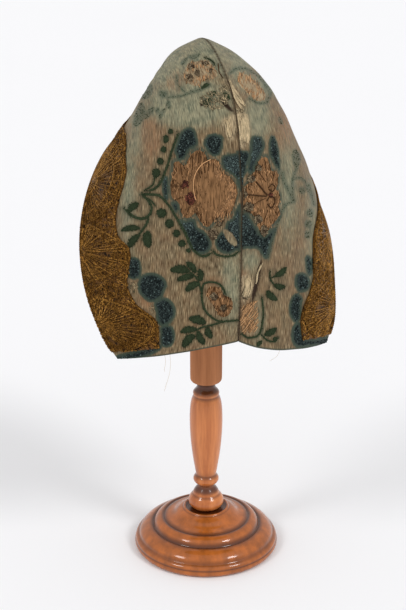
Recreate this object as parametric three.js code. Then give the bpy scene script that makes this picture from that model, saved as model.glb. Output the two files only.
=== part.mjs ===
// Embroidered bonnet of two silk halves, with gold lace round its face opening, on a turned wooden stand.
// Millimetres, +Z up. The origin is the centre of the stand's underside. +Y is the side where the wearer's
// face would be, so the centre-back seam faces -Y, and +X is the wearer's right.
import * as THREE from 'three';

// Clearances and wall thicknesses
const GAP = 0.3;
const CLOTH = 1.8;
const LACE = 1.3;

// How finely the soft pieces are faceted
const ACROSS = 16;
const ALONG = 28;
const LACE_ACROSS = 5;
const LACE_ALONG = 56;

// One half of the bonnet is a fan of ribs. Each rib leaves the centre seam, bulges outward and ends on the
// front edge. q runs from the hem (0) to the top of the face opening (1).
const RIBS = [
  { q: 0.00, seamY: -91, seamZ: 221.0, edgeX: 83.0, edgeY: -52, edgeZ: 198, bulge: 9.0 },
  { q: 0.08, seamY: -94, seamZ: 243.0, edgeX: 92.0, edgeY: -42, edgeZ: 214, bulge: 10.0 },
  { q: 0.16, seamY: -96, seamZ: 266.0, edgeX: 98.0, edgeY: -22, edgeZ: 236, bulge: 11.0 },
  { q: 0.28, seamY: -98, seamZ: 302.0, edgeX: 99.5, edgeY: -1, edgeZ: 268, bulge: 14.0 },
  { q: 0.42, seamY: -96, seamZ: 345.0, edgeX: 90.0, edgeY: 23, edgeZ: 301.5, bulge: 19.4 },
  { q: 0.56, seamY: -78, seamZ: 395.0, edgeX: 71.3, edgeY: 40.5, edgeZ: 332, bulge: 18.4 },
  { q: 0.70, seamY: -40, seamZ: 419.0, edgeX: 43.8, edgeY: 52, edgeZ: 357, bulge: 18.9 },
  { q: 0.84, seamY: 5, seamZ: 427.5, edgeX: 25.3, edgeY: 56.5, edgeZ: 379, bulge: 10.8 },
  { q: 1.00, seamY: 60, seamZ: 408.0, edgeX: 9.0, edgeY: 61, edgeZ: 399, bulge: 1.0 },
];

// The two hems differ a little: height added at each share of the way from the seam to the front corner
const HEM_LEFT = [{ u: 0, rise: 0 }, { u: 0.4, rise: 3 }, { u: 1, rise: 2 }];
const HEM_RIGHT = [{ u: 0, rise: 0 }, { u: 0.1, rise: -2 }, { u: 0.6, rise: -2.5 }, { u: 1, rise: -3 }];
const HEM_FADE = 0.4;

// Lace band along the front edge: its scalloped width, by the run along that edge from the hem's corner
const LACE_START = 0.03;
const LACE_LEFT = [
  { run: 0, width: 38 }, { run: 9, width: 42 }, { run: 18, width: 48 }, { run: 27, width: 52.5 },
  { run: 34, width: 52.5 }, { run: 40, width: 49 }, { run: 46, width: 45.5 }, { run: 55, width: 44 },
  { run: 62, width: 43.5 }, { run: 67, width: 45 }, { run: 73, width: 48.5 }, { run: 80, width: 52.5 },
  { run: 88, width: 56 }, { run: 95, width: 56 }, { run: 102, width: 49 }, { run: 110, width: 47.5 },
  { run: 120, width: 49.5 }, { run: 130, width: 54 }, { run: 140, width: 58.5 }, { run: 149, width: 60 },
  { run: 157, width: 56 }, { run: 166, width: 53 }, { run: 173, width: 47 }, { run: 180, width: 38 },
  { run: 188, width: 26 }, { run: 197, width: 16 }, { run: 210, width: 12 }, { run: 240, width: 12 },
  { run: 270, width: 11 },
];
const LACE_RIGHT = [
  { run: 0, width: 39 }, { run: 7, width: 44 }, { run: 24, width: 57 }, { run: 38, width: 59 },
  { run: 51, width: 55 }, { run: 60, width: 53 }, { run: 76, width: 59 }, { run: 92, width: 62.5 },
  { run: 104, width: 60 }, { run: 114, width: 50 }, { run: 124, width: 38 }, { run: 135, width: 29 },
  { run: 150, width: 24 }, { run: 170, width: 21 }, { run: 195, width: 18 }, { run: 225, width: 15 },
  { run: 270, width: 11 },
];
const LACE_SEAM_SHARE = 0.05;

// Stand profiles, from the underside up
const BASE_SIDES = 36;
const STEM_SIDES = 24;
const BASE_TOP = 33.2;
const BASE_PROFILE = [
  { r: 0, z: 0 }, { r: 56.8, z: 0 }, { r: 58.6, z: 0.8 }, { r: 59.7, z: 2.6 }, { r: 60, z: 4.2 },
  { r: 59.7, z: 5.4 }, { r: 59.1, z: 6 }, { r: 59.3, z: 6.6 }, { r: 59.2, z: 7.8 }, { r: 58.4, z: 9 },
  { r: 57.4, z: 9.8 }, { r: 56.4, z: 10.2 }, { r: 55.8, z: 11 }, { r: 55.6, z: 12.2 },
  { r: 54.9, z: 13.8 }, { r: 53.2, z: 15.6 }, { r: 51, z: 17.4 }, { r: 48.2, z: 18.8 },
  { r: 45.6, z: 19.6 }, { r: 44.8, z: 18.7 }, { r: 43.9, z: 18.8 }, { r: 43.3, z: 20.9 },
  { r: 42, z: 23.1 }, { r: 40.2, z: 24.7 }, { r: 38.2, z: 25.7 }, { r: 36.4, z: 26.2 },
  { r: 35.7, z: 25.2 }, { r: 34.9, z: 25.3 }, { r: 34.2, z: 26.5 }, { r: 31, z: 26.9 },
  { r: 28.4, z: 27.6 }, { r: 26.4, z: 28.9 }, { r: 24.8, z: 30.6 }, { r: 22.6, z: 32.4 },
  { r: 20.2, z: 33.5 }, { r: 19.1, z: 33.9 }, { r: 18.8, z: 34.5 }, { r: 18.4, z: 35.3 },
  { r: 17.4, z: 35.4 }, { r: 16.7, z: 34.6 }, { r: 16.4, z: BASE_TOP }, { r: 0, z: BASE_TOP },
];
const STEM_FOOT = BASE_TOP + GAP;
const STEM_TOP = 148.9;
const STEM_PROFILE = [
  { r: 0, z: STEM_FOOT }, { r: 10.6, z: STEM_FOOT }, { r: 11.2, z: 34.4 }, { r: 13.3, z: 36.2 },
  { r: 14.5, z: 38.4 }, { r: 14.8, z: 40.2 }, { r: 14.4, z: 42.6 }, { r: 13, z: 45.2 },
  { r: 11.2, z: 46.9 }, { r: 10.8, z: 47.6 }, { r: 10.6, z: 48.6 }, { r: 10.2, z: 49.6 },
  { r: 9.6, z: 50.6 }, { r: 8.2, z: 52.6 }, { r: 7.1, z: 54.2 }, { r: 7, z: 55.4 }, { r: 8.6, z: 57 },
  { r: 10.1, z: 58.4 }, { r: 10.75, z: 60.2 }, { r: 10.4, z: 62.2 }, { r: 9.2, z: 63.8 },
  { r: 8.4, z: 64.8 }, { r: 8.6, z: 66.5 }, { r: 9, z: 68.4 }, { r: 10.7, z: 79 }, { r: 12, z: 88 },
  { r: 13.2, z: 101 }, { r: 13.6, z: 114 }, { r: 13.4, z: 123 }, { r: 12.8, z: 130 },
  { r: 11.5, z: 134.8 }, { r: 10.3, z: 137 }, { r: 10.7, z: 138.2 }, { r: 10.9, z: 139.6 },
  { r: 9.8, z: 141.4 }, { r: 7.9, z: 143.2 }, { r: 7.3, z: 145 }, { r: 7.3, z: STEM_TOP },
  { r: 0, z: STEM_TOP },
];

// The column stops just under the crown, where the bonnet rests on its tapered end
const COLUMN_FOOT = STEM_TOP + GAP;
const COLUMN_PROFILE = [
  { r: 0, z: COLUMN_FOOT }, { r: 10.4, z: COLUMN_FOOT }, { r: 12.1, z: 149.7 }, { r: 12.9, z: 151.2 },
  { r: 13, z: 153 }, { r: 13, z: 405.9 }, { r: 11.6, z: 415.3 }, { r: 7, z: 420.9 }, { r: 3, z: 423.5 },
  { r: 0, z: 424.1 },
];

// Hermite curve through one column of a table, keyed by its first column
function curveThrough(rows, key, column) {
  const at = rows.map((row) => row[key]);
  const value = rows.map((row) => row[column]);
  const last = at.length - 1;
  const step = at.slice(1).map((x, i) => x - at[i]);
  const slope = step.map((width, i) => (value[i + 1] - value[i]) / width);
  const tangent = at.map((_, i) => {
    if (i === 0 || i === last) return 0;
    return (step[i] * slope[i - 1] + step[i - 1] * slope[i]) / (step[i] + step[i - 1]);
  });
  tangent[0] = 1.5 * slope[0] - 0.5 * tangent[1];
  tangent[last] = 1.5 * slope[last - 1] - 0.5 * tangent[last - 1];
  return (x) => {
    let i = 0;
    while (i < last - 1 && x > at[i + 1]) i += 1;
    const t = (x - at[i]) / step[i];
    const s = 1 - t;
    return (1 + 2 * t) * s * s * value[i] + t * s * s * step[i] * tangent[i]
      + t * t * (3 - 2 * t) * value[i + 1] - t * t * s * step[i] * tangent[i + 1];
  };
}

const rib = Object.fromEntries(
  ['seamY', 'seamZ', 'edgeX', 'edgeY', 'edgeZ', 'bulge'].map((name) => [name, curveThrough(RIBS, 'q', name)]),
);

// Outer surface of one half: u runs from the seam (0) to the front edge (1)
function halfSurface({ side, fullness, hem }) {
  const hemRise = curveThrough(hem, 'u', 'rise');
  const seamStep = 0.001;
  return (u, q) => {
    const seam = new THREE.Vector3(0, rib.seamY(q), rib.seamZ(q));
    const chord = new THREE.Vector3(rib.edgeX(q), rib.edgeY(q), rib.edgeZ(q)).sub(seam);
    const ahead = Math.min(q + seamStep, 1);
    const behind = Math.max(q - seamStep, 0);
    const along = new THREE.Vector3(
      0,
      rib.seamY(ahead) - rib.seamY(behind),
      rib.seamZ(ahead) - rib.seamZ(behind),
    );
    const outward = new THREE.Vector3().crossVectors(chord, along).normalize();
    const bulge = fullness * rib.bulge(q) * Math.sin(Math.PI * u);
    const point = seam.addScaledVector(chord, u).addScaledVector(outward, bulge);
    point.z += hemRise(u) * Math.max(1 - q / HEM_FADE, 0) ** 2;
    point.x = side * (point.x + 0.5 * GAP);
    return point;
  };
}

function surfaceNormal(surface, side, u, q) {
  const step = 0.002;
  const du = surface(Math.min(u + step, 1), q).sub(surface(Math.max(u - step, 0), q));
  const dq = surface(u, Math.min(q + step, 1)).sub(surface(u, Math.max(q - step, 0)));
  return du.cross(dq).multiplyScalar(side).normalize();
}

// Closed solid between two grids of points with the same rows and columns
function solidBetween(top, under) {
  const rows = top.length;
  const columns = top[0].length;
  const end = columns - 1;
  const positions = [...top.flat(), ...under.flat()].flatMap((p) => [p.x, p.y, p.z]);
  const topAt = (i, j) => i * columns + j;
  const underAt = (i, j) => rows * columns + i * columns + j;
  const index = [];
  const quad = (a, b, c, d) => index.push(a, b, c, a, c, d);
  for (let i = 0; i + 1 < rows; i += 1) {
    for (let j = 0; j + 1 < columns; j += 1) {
      quad(topAt(i, j), topAt(i, j + 1), topAt(i + 1, j + 1), topAt(i + 1, j));
      quad(underAt(i, j), underAt(i + 1, j), underAt(i + 1, j + 1), underAt(i, j + 1));
    }
  }
  for (let i = 0; i + 1 < rows; i += 1) {
    quad(topAt(i, 0), topAt(i + 1, 0), underAt(i + 1, 0), underAt(i, 0));
    quad(topAt(i + 1, end), topAt(i, end), underAt(i, end), underAt(i + 1, end));
  }
  for (let j = 0; j + 1 < columns; j += 1) {
    quad(topAt(0, j + 1), topAt(0, j), underAt(0, j), underAt(0, j + 1));
    quad(topAt(rows - 1, j), topAt(rows - 1, j + 1), underAt(rows - 1, j + 1), underAt(rows - 1, j));
  }
  const geometry = new THREE.BufferGeometry();
  geometry.setAttribute('position', new THREE.Float32BufferAttribute(positions, 3));
  geometry.setIndex(index);
  geometry.computeVertexNormals();
  return geometry;
}

// Rows of points, in the order that keeps a mirrored half's faces pointing out
function gridRows(side, rows) {
  return side > 0 ? rows : rows.map((row) => [...row].reverse());
}

// One half of the cloth: the inner face is set in by the cloth's thickness, and mitred at the seam
function panelGeometry(surface, side) {
  const outer = [];
  const inner = [];
  for (let i = 0; i <= ALONG; i += 1) {
    const q = i / ALONG;
    outer.push([]);
    inner.push([]);
    for (let j = 0; j <= ACROSS; j += 1) {
      const u = j / ACROSS;
      const point = surface(u, q);
      const inset = surfaceNormal(surface, side, u, q);
      if (j === 0) inset.setX(0).divideScalar(inset.lengthSq());
      outer[i].push(point);
      inner[i].push(point.clone().addScaledVector(inset, -CLOTH));
    }
  }
  return solidBetween(gridRows(side, outer), gridRows(side, inner));
}

// Length of one rib, from the seam to the front edge
function ribLength(surface, q) {
  let length = 0;
  for (let j = 0; j < ACROSS; j += 1) {
    length += surface(j / ACROSS, q).distanceTo(surface((j + 1) / ACROSS, q));
  }
  return length;
}

// Scalloped band lying on the cloth along the front edge
function laceGeometry(surface, side, widths) {
  const bandWidth = curveThrough(widths, 'run', 'width');
  const face = [];
  const back = [];
  let run = surface(1, 0).distanceTo(surface(1, LACE_START));
  let lastEdge = surface(1, LACE_START);
  for (let i = 0; i <= LACE_ALONG; i += 1) {
    const q = THREE.MathUtils.lerp(LACE_START, 1, i / LACE_ALONG);
    run += surface(1, q).distanceTo(lastEdge);
    lastEdge = surface(1, q);
    const share = bandWidth(run) / ribLength(surface, q);
    const inward = Math.max(1 - share, LACE_SEAM_SHARE);
    face.push([]);
    back.push([]);
    for (let j = 0; j <= LACE_ACROSS; j += 1) {
      const u = THREE.MathUtils.lerp(inward, 1, j / LACE_ACROSS);
      const normal = surfaceNormal(surface, side, u, q);
      const point = surface(u, q);
      face[i].push(point.clone().addScaledVector(normal, GAP + LACE));
      back[i].push(point.clone().addScaledVector(normal, GAP));
    }
  }
  return solidBetween(gridRows(side, face), gridRows(side, back));
}

// Turned piece: the profile starts and ends on the axis, and the axis is stood up along +Z
function turnedGeometry(profile, sides) {
  const outline = profile.map(({ r, z }) => new THREE.Vector2(r, z));
  return new THREE.LatheGeometry(outline, sides).rotateX(Math.PI / 2);
}

function addPiece(parent, name, geometry, look) {
  const mesh = new THREE.Mesh(geometry, new THREE.MeshStandardMaterial(look));
  mesh.name = name;
  parent.add(mesh);
}

const SILK = { color: 0x8f8168, roughness: 0.8, metalness: 0 };
const GOLD_LACE = { color: 0x7d5a24, roughness: 0.55, metalness: 0.4 };
const VARNISHED_WOOD = { color: 0xb4662a, roughness: 0.25, metalness: 0 };
const PALE_WOOD = { color: 0xb98260, roughness: 0.55, metalness: 0 };

const HALVES = [
  { name: 'left', side: -1, fullness: 1, hem: HEM_LEFT, lace: LACE_LEFT },
  { name: 'right', side: 1, fullness: 1.2, hem: HEM_RIGHT, lace: LACE_RIGHT },
];

const bonnetOnStand = new THREE.Group();
const stand = new THREE.Group();
addPiece(stand, 'stand_base', turnedGeometry(BASE_PROFILE, BASE_SIDES), VARNISHED_WOOD);
addPiece(stand, 'stand_stem', turnedGeometry(STEM_PROFILE, STEM_SIDES), VARNISHED_WOOD);
addPiece(stand, 'stand_column', turnedGeometry(COLUMN_PROFILE, STEM_SIDES), PALE_WOOD);
bonnetOnStand.add(stand);

const bonnet = new THREE.Group();
for (const half of HALVES) {
  const surface = halfSurface(half);
  addPiece(bonnet, `panel_${half.name}`, panelGeometry(surface, half.side), SILK);
  addPiece(bonnet, `lace_${half.name}`, laceGeometry(surface, half.side, half.lace), GOLD_LACE);
}
bonnetOnStand.add(bonnet);

export default bonnetOnStand;
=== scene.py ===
"""Embroidered bonnet on its turned wooden stand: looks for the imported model, laid out as an add-on."""
import math
from collections import namedtuple

import bmesh
import bpy
import numpy as np
from bpy.props import FloatProperty, FloatVectorProperty, IntProperty, PointerProperty
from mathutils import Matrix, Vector


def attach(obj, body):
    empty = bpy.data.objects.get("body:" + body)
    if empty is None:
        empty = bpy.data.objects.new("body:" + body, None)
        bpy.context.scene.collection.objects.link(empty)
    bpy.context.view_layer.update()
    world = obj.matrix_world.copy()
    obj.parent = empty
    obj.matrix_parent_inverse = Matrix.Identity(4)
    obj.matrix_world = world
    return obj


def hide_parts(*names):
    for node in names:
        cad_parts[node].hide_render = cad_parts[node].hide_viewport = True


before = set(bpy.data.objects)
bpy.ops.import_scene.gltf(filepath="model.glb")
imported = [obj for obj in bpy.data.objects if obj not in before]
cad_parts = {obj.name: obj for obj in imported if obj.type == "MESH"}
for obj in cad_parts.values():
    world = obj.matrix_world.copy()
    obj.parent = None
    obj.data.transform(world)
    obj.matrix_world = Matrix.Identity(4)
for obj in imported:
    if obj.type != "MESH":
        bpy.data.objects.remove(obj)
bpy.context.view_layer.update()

bl_info = {
    "name": "Embroidered bonnet",
    "version": (1, 0, 0),
    "blender": (4, 5, 0),
    "location": "View3D > Sidebar > Bonnet",
    "description": "Dresses a packed bonnet and its stand with silk, embroidery, lace and varnish",
    "category": "Object",
}

BODY = "root"
MM = 0.001
CLOTH_UNIT = 100.0
PICTURE_WIDTH, PICTURE_HEIGHT = 406, 610

# Clearances and thicknesses, in millimetres
SEAM_GAP, CLOTH = 0.3, 1.8
LACE_LIFT, LACE_BAND = 0.3, 0.5
LACE_TOP = LACE_LIFT + LACE_BAND
# How much fuller than the ribs each half bulges
FULLNESS = {"left": 1.0, "right": 1.2}
# Shares of the way from the hem to the crown's front, or from the seam to the front edge
HEM_FADE = 0.4
CROWN_START, CROWN_FADE = 0.62, 0.1
LACE_START, LACE_SEAM_SHARE = 0.03, 0.05
LOOSE_START, STITCH_STEP = 0.002, 0.012
# Depths, heights and sizes of surface work, in millimetres
SEAM_FADE, SEAM_DEPTH, HOLE_DEPTH, BARE_DEPTH, RIM_RISE = 0.9, 0.5, 0.9, 0.25, 0.15
HEM_CORD, HEM_CORD_EDGE = 1.3, 1.4
SPRIG_SWELL, VINE_SWELL, TUFT_LIFT = 0.4, 0.3, 0.2
RAY_LIFT, PALE_RIM_LIFT, KNOT_LIFT = 0.7, 0.95, 0.85
STITCH_END, STITCH_MIDDLE, STITCH_RADIUS = 0.02, -0.15, 0.17
LOOSE_DEPTH, LOOSE_RADIUS = 0.9, 0.09
NET_RIPPLE, NET_RIM, WIDEST_LACE = 0.12, 0.8, 62
FAN_HUB, FAN_RIM = 5, 0.3
# Shape of a tuft and of a leaf, as factors
TUFT_LONG, TUFT_SHORT, TUFT_HIGH = 1.15, 0.8, 1.1
LEAF_FULL, LEAF_WIDEST, LEAF_SWAY = 1.12, 0.42, 0.07
# Spacing in pixels, and how much there is of some of the threads
PILE_SPACING, VINE_SPACING, THIN_RAY = 1.25, 1.3, 1.2
PILE_SHARE, FRAY_CROWD, DARK_FRAYS, LAID_COUNT = 0.93, 1.3, 0.82, 70
# Arcs that cross a fan's rays, as shares of their reach, and turns of the border cords
ARC_SHARES, CORD_TWIST = (0.2, 0.72, 0.95), 2.1
# Fineness of the meshes and of the places that the photograph's pixels are looked up in
NET_FACES = (24, 220)
INNER_COARSER, INNER_SINK = 3, 0.01
BIT_STEPS, PICOT_STEPS = 5, 8
U_STEPS, Q_STEPS, Q_SAMPLES = 61, 241, 121
FIND_ROUNDS, FIND_STEP, FIND_MOVE, LEAST_AREA = 7, 1e-3, 0.05, 200
U_RANGE, Q_RANGE = (0.004, 0.997), (0.002, 0.998)
BONNET_MIDDLE = (0, -0.06, 0.31)
FLOOR_REACH = 8
SEEDS = {"sprigs": 11, "pile": 23, "flowers": 5, "frays": 31, "lace": 47}
# Edges of the masks that the chart gives the cloth: softness, waver and growth, in pixels
Mask = namedtuple("Mask", "edge waver grow", defaults=(0.0, 0.0))
WEDGE_MASK, CORE_MASK, RIM_MASK = Mask(2.0, 0.2), Mask(2.4, 0.5, -2.8), Mask(1.6, 0.3, 0.4)
FLOWER_MASK, STRAW_MASK, SLIT_MASK = Mask(2.0, 0.4, 1.0), Mask(5.0, 1.2), Mask(1.6, 0.4)
GREEN_MASK, PINK_MASK = Mask(14.0, 2.0), Mask(10.0, 2.5)
HALO_MASK, FADED_MASK = Mask(3.6, 0.3, 0.7), Mask(2.4, 0.4, 0.7)
FREE_MASK, PALE_PILE_MASK = Mask(0.1), Mask(7.0, 1.5)
# Cushions of the flowers: height of the rim and swell in millimetres, and how many threads lie on them
Cushion = namedtuple("Cushion", "low swell glints glint_edge flecks")
FLOWER_CUSHION, PLATE_CUSHION = Cushion(0.0, 0.55, 7, 0.6, 9), Cushion(0.35, 0.6, 14, 0.3, 3)


def rows(kind, table):
    """Table of each half's rows, with its columns named."""
    return {half: [kind(*row) for row in listed] for half, listed in table.items()}


# Ribs of one half, from the hem (q 0) to the top of the face opening (q 1), in millimetres
Rib = namedtuple("Rib", "q seam_y seam_z edge_x edge_y edge_z bulge")
RIBS = [Rib(*row) for row in (
    (0.00, -91, 221.0, 83.0, -52, 198, 9.0), (0.08, -94, 243.0, 92.0, -42, 214, 10.0),
    (0.16, -96, 266.0, 98.0, -22, 236, 11.0), (0.28, -98, 302.0, 99.5, -1, 268, 14.0),
    (0.42, -96, 345.0, 90.0, 23, 301.5, 19.4), (0.56, -78, 395.0, 71.3, 40.5, 332, 18.4),
    (0.70, -40, 419.0, 43.8, 52, 357, 18.9), (0.84, 5, 427.5, 25.3, 56.5, 379, 10.8),
    (1.00, 60, 408.0, 9.0, 61, 399, 1.0),
)]
Hem = namedtuple("Hem", "u rise")
HEMS = rows(Hem, {
    "left": [(0, 0), (0.4, 3), (1, 2)],
    "right": [(0, 0), (0.1, -2), (0.6, -2.5), (1, -3)],
})
# Width of the scalloped lace, by the run along the front edge from the hem's corner
Band = namedtuple("Band", "run width")
LACE_WIDTHS = rows(Band, {
    "left": [
        (0, 38), (9, 42), (18, 48), (27, 52.5), (34, 52.5), (40, 49), (46, 45.5), (55, 44), (62, 43.5),
        (67, 45), (73, 48.5), (80, 52.5), (88, 56), (95, 56), (102, 49), (110, 47.5), (120, 49.5),
        (130, 54), (140, 58.5), (149, 60), (157, 56), (166, 53), (173, 47), (180, 38), (188, 26),
        (197, 16), (210, 12), (240, 12), (270, 11),
    ],
    "right": [
        (0, 39), (7, 44), (24, 57), (38, 59), (51, 55), (60, 53), (76, 59), (92, 62.5), (104, 60),
        (114, 50), (124, 38), (135, 29), (150, 24), (170, 21), (195, 18), (225, 15), (270, 11),
    ],
})
# Painted light: how much brighter the gold is painted on each half, most on the right half
LACE_PAINTED_LIGHT = {"left": 0.05, "right": 0.2}
# Middles of the lace's fans, as runs along the front edge, and half of the run that each fan takes
Fan = namedtuple("Fan", "run reach")
FANS = rows(Fan, {
    "left": [(30, 26), (90, 24), (146, 35), (196, 14)],
    "right": [(32, 27), (92, 33), (136, 12)],
})

# Turned profiles of the stand, from the axis round to the axis again, in millimetres, with a share of
# painted shade for grooves, undersides of rolls and joins
Turn = namedtuple("Turn", "r z groove")
BASE_PROFILE = [Turn(*row) for row in (
    (0, 0, 0), (56.8, 0, 0), (58.6, 0.8, 0), (59.7, 2.6, 0), (60, 4.2, 0), (59.7, 5.4, 0.2),
    (59.1, 6, 0.9), (59.3, 6.6, 0.5), (59.2, 7.8, 0), (58.4, 9, 0.1), (57.4, 9.8, 0.4), (56.4, 10.2, 0.5),
    (55.8, 11, 0.5), (55.6, 12.2, 0.3), (54.9, 13.8, 0), (53.2, 15.6, 0), (51, 17.4, 0),
    (48.2, 18.8, 0.15), (45.6, 19.6, 0.75), (44.8, 18.7, 1), (43.9, 18.8, 1), (43.3, 20.9, 0.7),
    (42, 23.1, 0), (40.2, 24.7, 0), (38.2, 25.7, 0.1), (36.4, 26.2, 0.75), (35.7, 25.2, 1),
    (34.9, 25.3, 1), (34.2, 26.5, 0.7), (31, 26.9, 0), (28.4, 27.6, 0), (26.4, 28.9, 0), (24.8, 30.6, 0),
    (22.6, 32.4, 0), (20.2, 33.5, 0), (19.1, 33.9, 0.5), (18.8, 34.5, 0.2), (18.4, 35.3, 0),
    (17.4, 35.4, 0.1), (16.7, 34.6, 0.8), (16.4, 33.2, 1), (0, 33.2, 1),
)]
STEM_PROFILE = [Turn(*row) for row in (
    (0, 33.5, 1), (10.6, 33.5, 1), (11.2, 34.4, 0.7), (13.3, 36.2, 0), (14.5, 38.4, 0), (14.8, 40.2, 0),
    (14.4, 42.6, 0), (13, 45.2, 0), (11.2, 46.9, 0.6), (10.8, 47.6, 0.2), (10.6, 48.6, 0.1),
    (10.2, 49.6, 0.5), (9.6, 50.6, 0.9), (8.2, 52.6, 1), (7.1, 54.2, 0.9), (7, 55.4, 0.8), (8.6, 57, 0.3),
    (10.1, 58.4, 0), (10.75, 60.2, 0), (10.4, 62.2, 0.1), (9.2, 63.8, 0.6), (8.4, 64.8, 0.8),
    (8.6, 66.5, 0.2), (9, 68.4, 0), (10.7, 79, 0), (12, 88, 0), (13.2, 101, 0), (13.6, 114, 0),
    (13.4, 123, 0), (12.8, 130, 0), (11.5, 134.8, 0), (10.3, 137, 0.7), (10.7, 138.2, 0),
    (10.9, 139.6, 0.4), (9.8, 141.4, 0.9), (7.9, 143.2, 1), (7.3, 145, 1), (7.3, 148.9, 1), (0, 148.9, 1),
)]
COLUMN_PROFILE = [Turn(*row) for row in (
    (0, 149.2, 1), (10.4, 149.2, 0.8), (12.1, 149.7, 0.2), (12.9, 151.2, 0), (13, 153, 0), (13, 230, 0),
    (13, 320, 0), (13, 405.9, 0), (11.6, 415.3, 0), (7, 420.9, 0), (3, 423.5, 0), (0, 424.1, 0),
)]

# The chart: motifs read from the photograph, in its 406 x 610 pixels. Spots have half sizes.
Spot = namedtuple("Spot", "x y across down")
Leaf = namedtuple("Leaf", "x y tip_x tip_y width")
Vine = namedtuple("Vine", "width route")
Patch = namedtuple("Patch", "x y outline tone pale", defaults=(0.4, False))

DOTS = rows(Spot, {
    "left": [
        (170.5, 131.5, 2.8, 2.8), (166, 139.2, 3.1, 4.2), (163.8, 149.5, 3.1, 3.3),
        (160.5, 161.5, 3.5, 3.5), (156.5, 173, 4.2, 5.2), (161.5, 213, 4.9, 4.8),
        (169.5, 223.5, 4.8, 4.7), (176.5, 233.5, 3.8, 3.7), (182, 243.5, 3.9, 3.7),
        (188.5, 250.5, 2.5, 2.3), (157, 110, 1.8, 2.4), (163, 94, 4.0, 3.0),
    ],
    "right": [
        (309.5, 213, 3.3, 4.0), (308.5, 224, 3.1, 3.8), (307.5, 234.5, 2.8, 3.4), (302.5, 190, 2.8, 3.6),
        (275, 339, 2.6, 2.4),
    ],
})
LEAVES = rows(Leaf, {
    "left": [
        (143, 99, 151, 85, 6), (135, 126, 142, 103, 8), (203, 104, 211, 99, 5), (210, 95, 216, 92, 4),
        (224, 92, 230, 99, 4), (140, 228, 121.5, 230.5, 5.8), (139.5, 234.5, 129, 247.5, 7),
        (147.5, 231, 148.5, 247.5, 9), (138.5, 203, 128, 212, 7), (189.5, 271, 170.5, 270, 8),
        (196, 272.5, 186.5, 262, 6.5), (193.5, 276, 177.5, 280.5, 6.4), (199.5, 283, 185.5, 290.5, 7),
        (200.5, 281, 199.5, 269, 6), (206, 323, 189, 318.5, 8), (197, 329.5, 180.5, 331.5, 6),
        (194.5, 334.5, 183, 347, 8), (197.5, 331, 204.5, 344.5, 6.6), (207, 327.5, 211.5, 338, 6.5),
        (154, 107.5, 145, 118.5, 4.5), (188, 57, 200, 54.5, 4), (181, 64, 187, 58, 3.5),
        (209.5, 84.5, 201.5, 89, 3.4), (165, 109, 160, 118, 3.6), (168, 101, 170, 109, 3),
    ],
    "right": [
        (275, 276.5, 286.5, 267.5, 6), (274, 285.5, 285, 286.5, 6), (266.5, 291, 277, 300, 6.5),
        (264.5, 335, 276, 328, 6.5), (296.5, 167, 294.5, 149.5, 6.5), (279.5, 117, 282, 124, 3),
        (262, 341, 257, 346, 4), (296, 150, 300, 159, 3),
    ],
})
VINES = rows(Vine, {
    "left": [
        (1.7, ((154.8, 178), (153, 185), (144, 190.5))),
        (2.7, ((178.5, 133), (172.7, 149), (168.6, 162.6), (165, 172), (161, 181.5), (156, 188),
         (148, 191))),
        (2.7, ((141, 194), (150, 194.5), (160, 196), (169, 206), (174.5, 215), (180, 224), (185.4, 234),
         (190, 244), (193, 249), (199, 254.5), (205, 256), (212, 252.5))),
        (3.0, ((141, 194), (148, 200), (152, 207), (150, 214), (144, 218.5), (136, 217.5), (129, 213),
         (124, 208.5))),
        (1.8, ((129, 212), (131.5, 217))),
        (2.0, ((149, 198), (156, 206))),
        (2.6, ((149, 215.5), (147, 223), (143, 229), (139, 235))),
        (1.8, ((188, 271), (194, 275.5), (198, 280), (200, 287), (202, 294))),
        (2.1, ((226, 295), (223, 288), (218, 283.5), (210, 282), (204, 284), (202, 291), (202, 300),
         (204, 308), (208, 314), (214, 319), (220, 321.5), (230, 321), (239, 320))),
        (2.0, ((222, 322.5), (214, 324.5), (208, 326), (203, 327), (197, 329.5), (189, 332))),
        (1.8, ((210, 85.5), (201, 90), (191, 92), (183, 95.5), (174, 97), (168, 97.5))),
        (2.2, ((213, 250), (217, 254.5), (226, 256.5), (234, 255), (239, 251))),
        (2.0, ((176.6, 75.5), (177.8, 84), (184, 91))),
        (1.6, ((204.5, 57.2), (211, 60), (215, 65))),
    ],
    "right": [
        (3.0, ((282, 172), (284, 181), (288, 190), (294, 201))),
        (2.0, ((294, 201), (285, 206), (281.5, 215), (277.5, 225), (274, 236), (271.5, 247),
         (268.5, 258))),
        (1.8, ((297, 167), (294, 176), (292, 186), (294, 201))),
        (2.0, ((292.5, 179), (300, 178), (305, 182), (308, 190), (312, 198))),
        (1.8, ((309, 185), (312, 195), (314, 205))),
        (1.9, ((270, 271), (270.5, 279), (275, 286))),
        (1.8, ((270.5, 279), (277, 275))),
        (2.2, ((262, 297), (263, 315), (261, 330), (257, 336), (248, 337.5), (241, 333.5))),
        (1.7, ((261, 334), (267, 340), (275, 341.5), (277.5, 337))),
        (2.0, ((230, 73), (236, 69.2), (244, 68.4), (251, 70.7), (259, 76.5), (265.5, 84.5), (270, 94),
         (267, 102))),
        (1.6, ((266, 103), (258, 103), (249, 98.5))),
    ],
})
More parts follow.
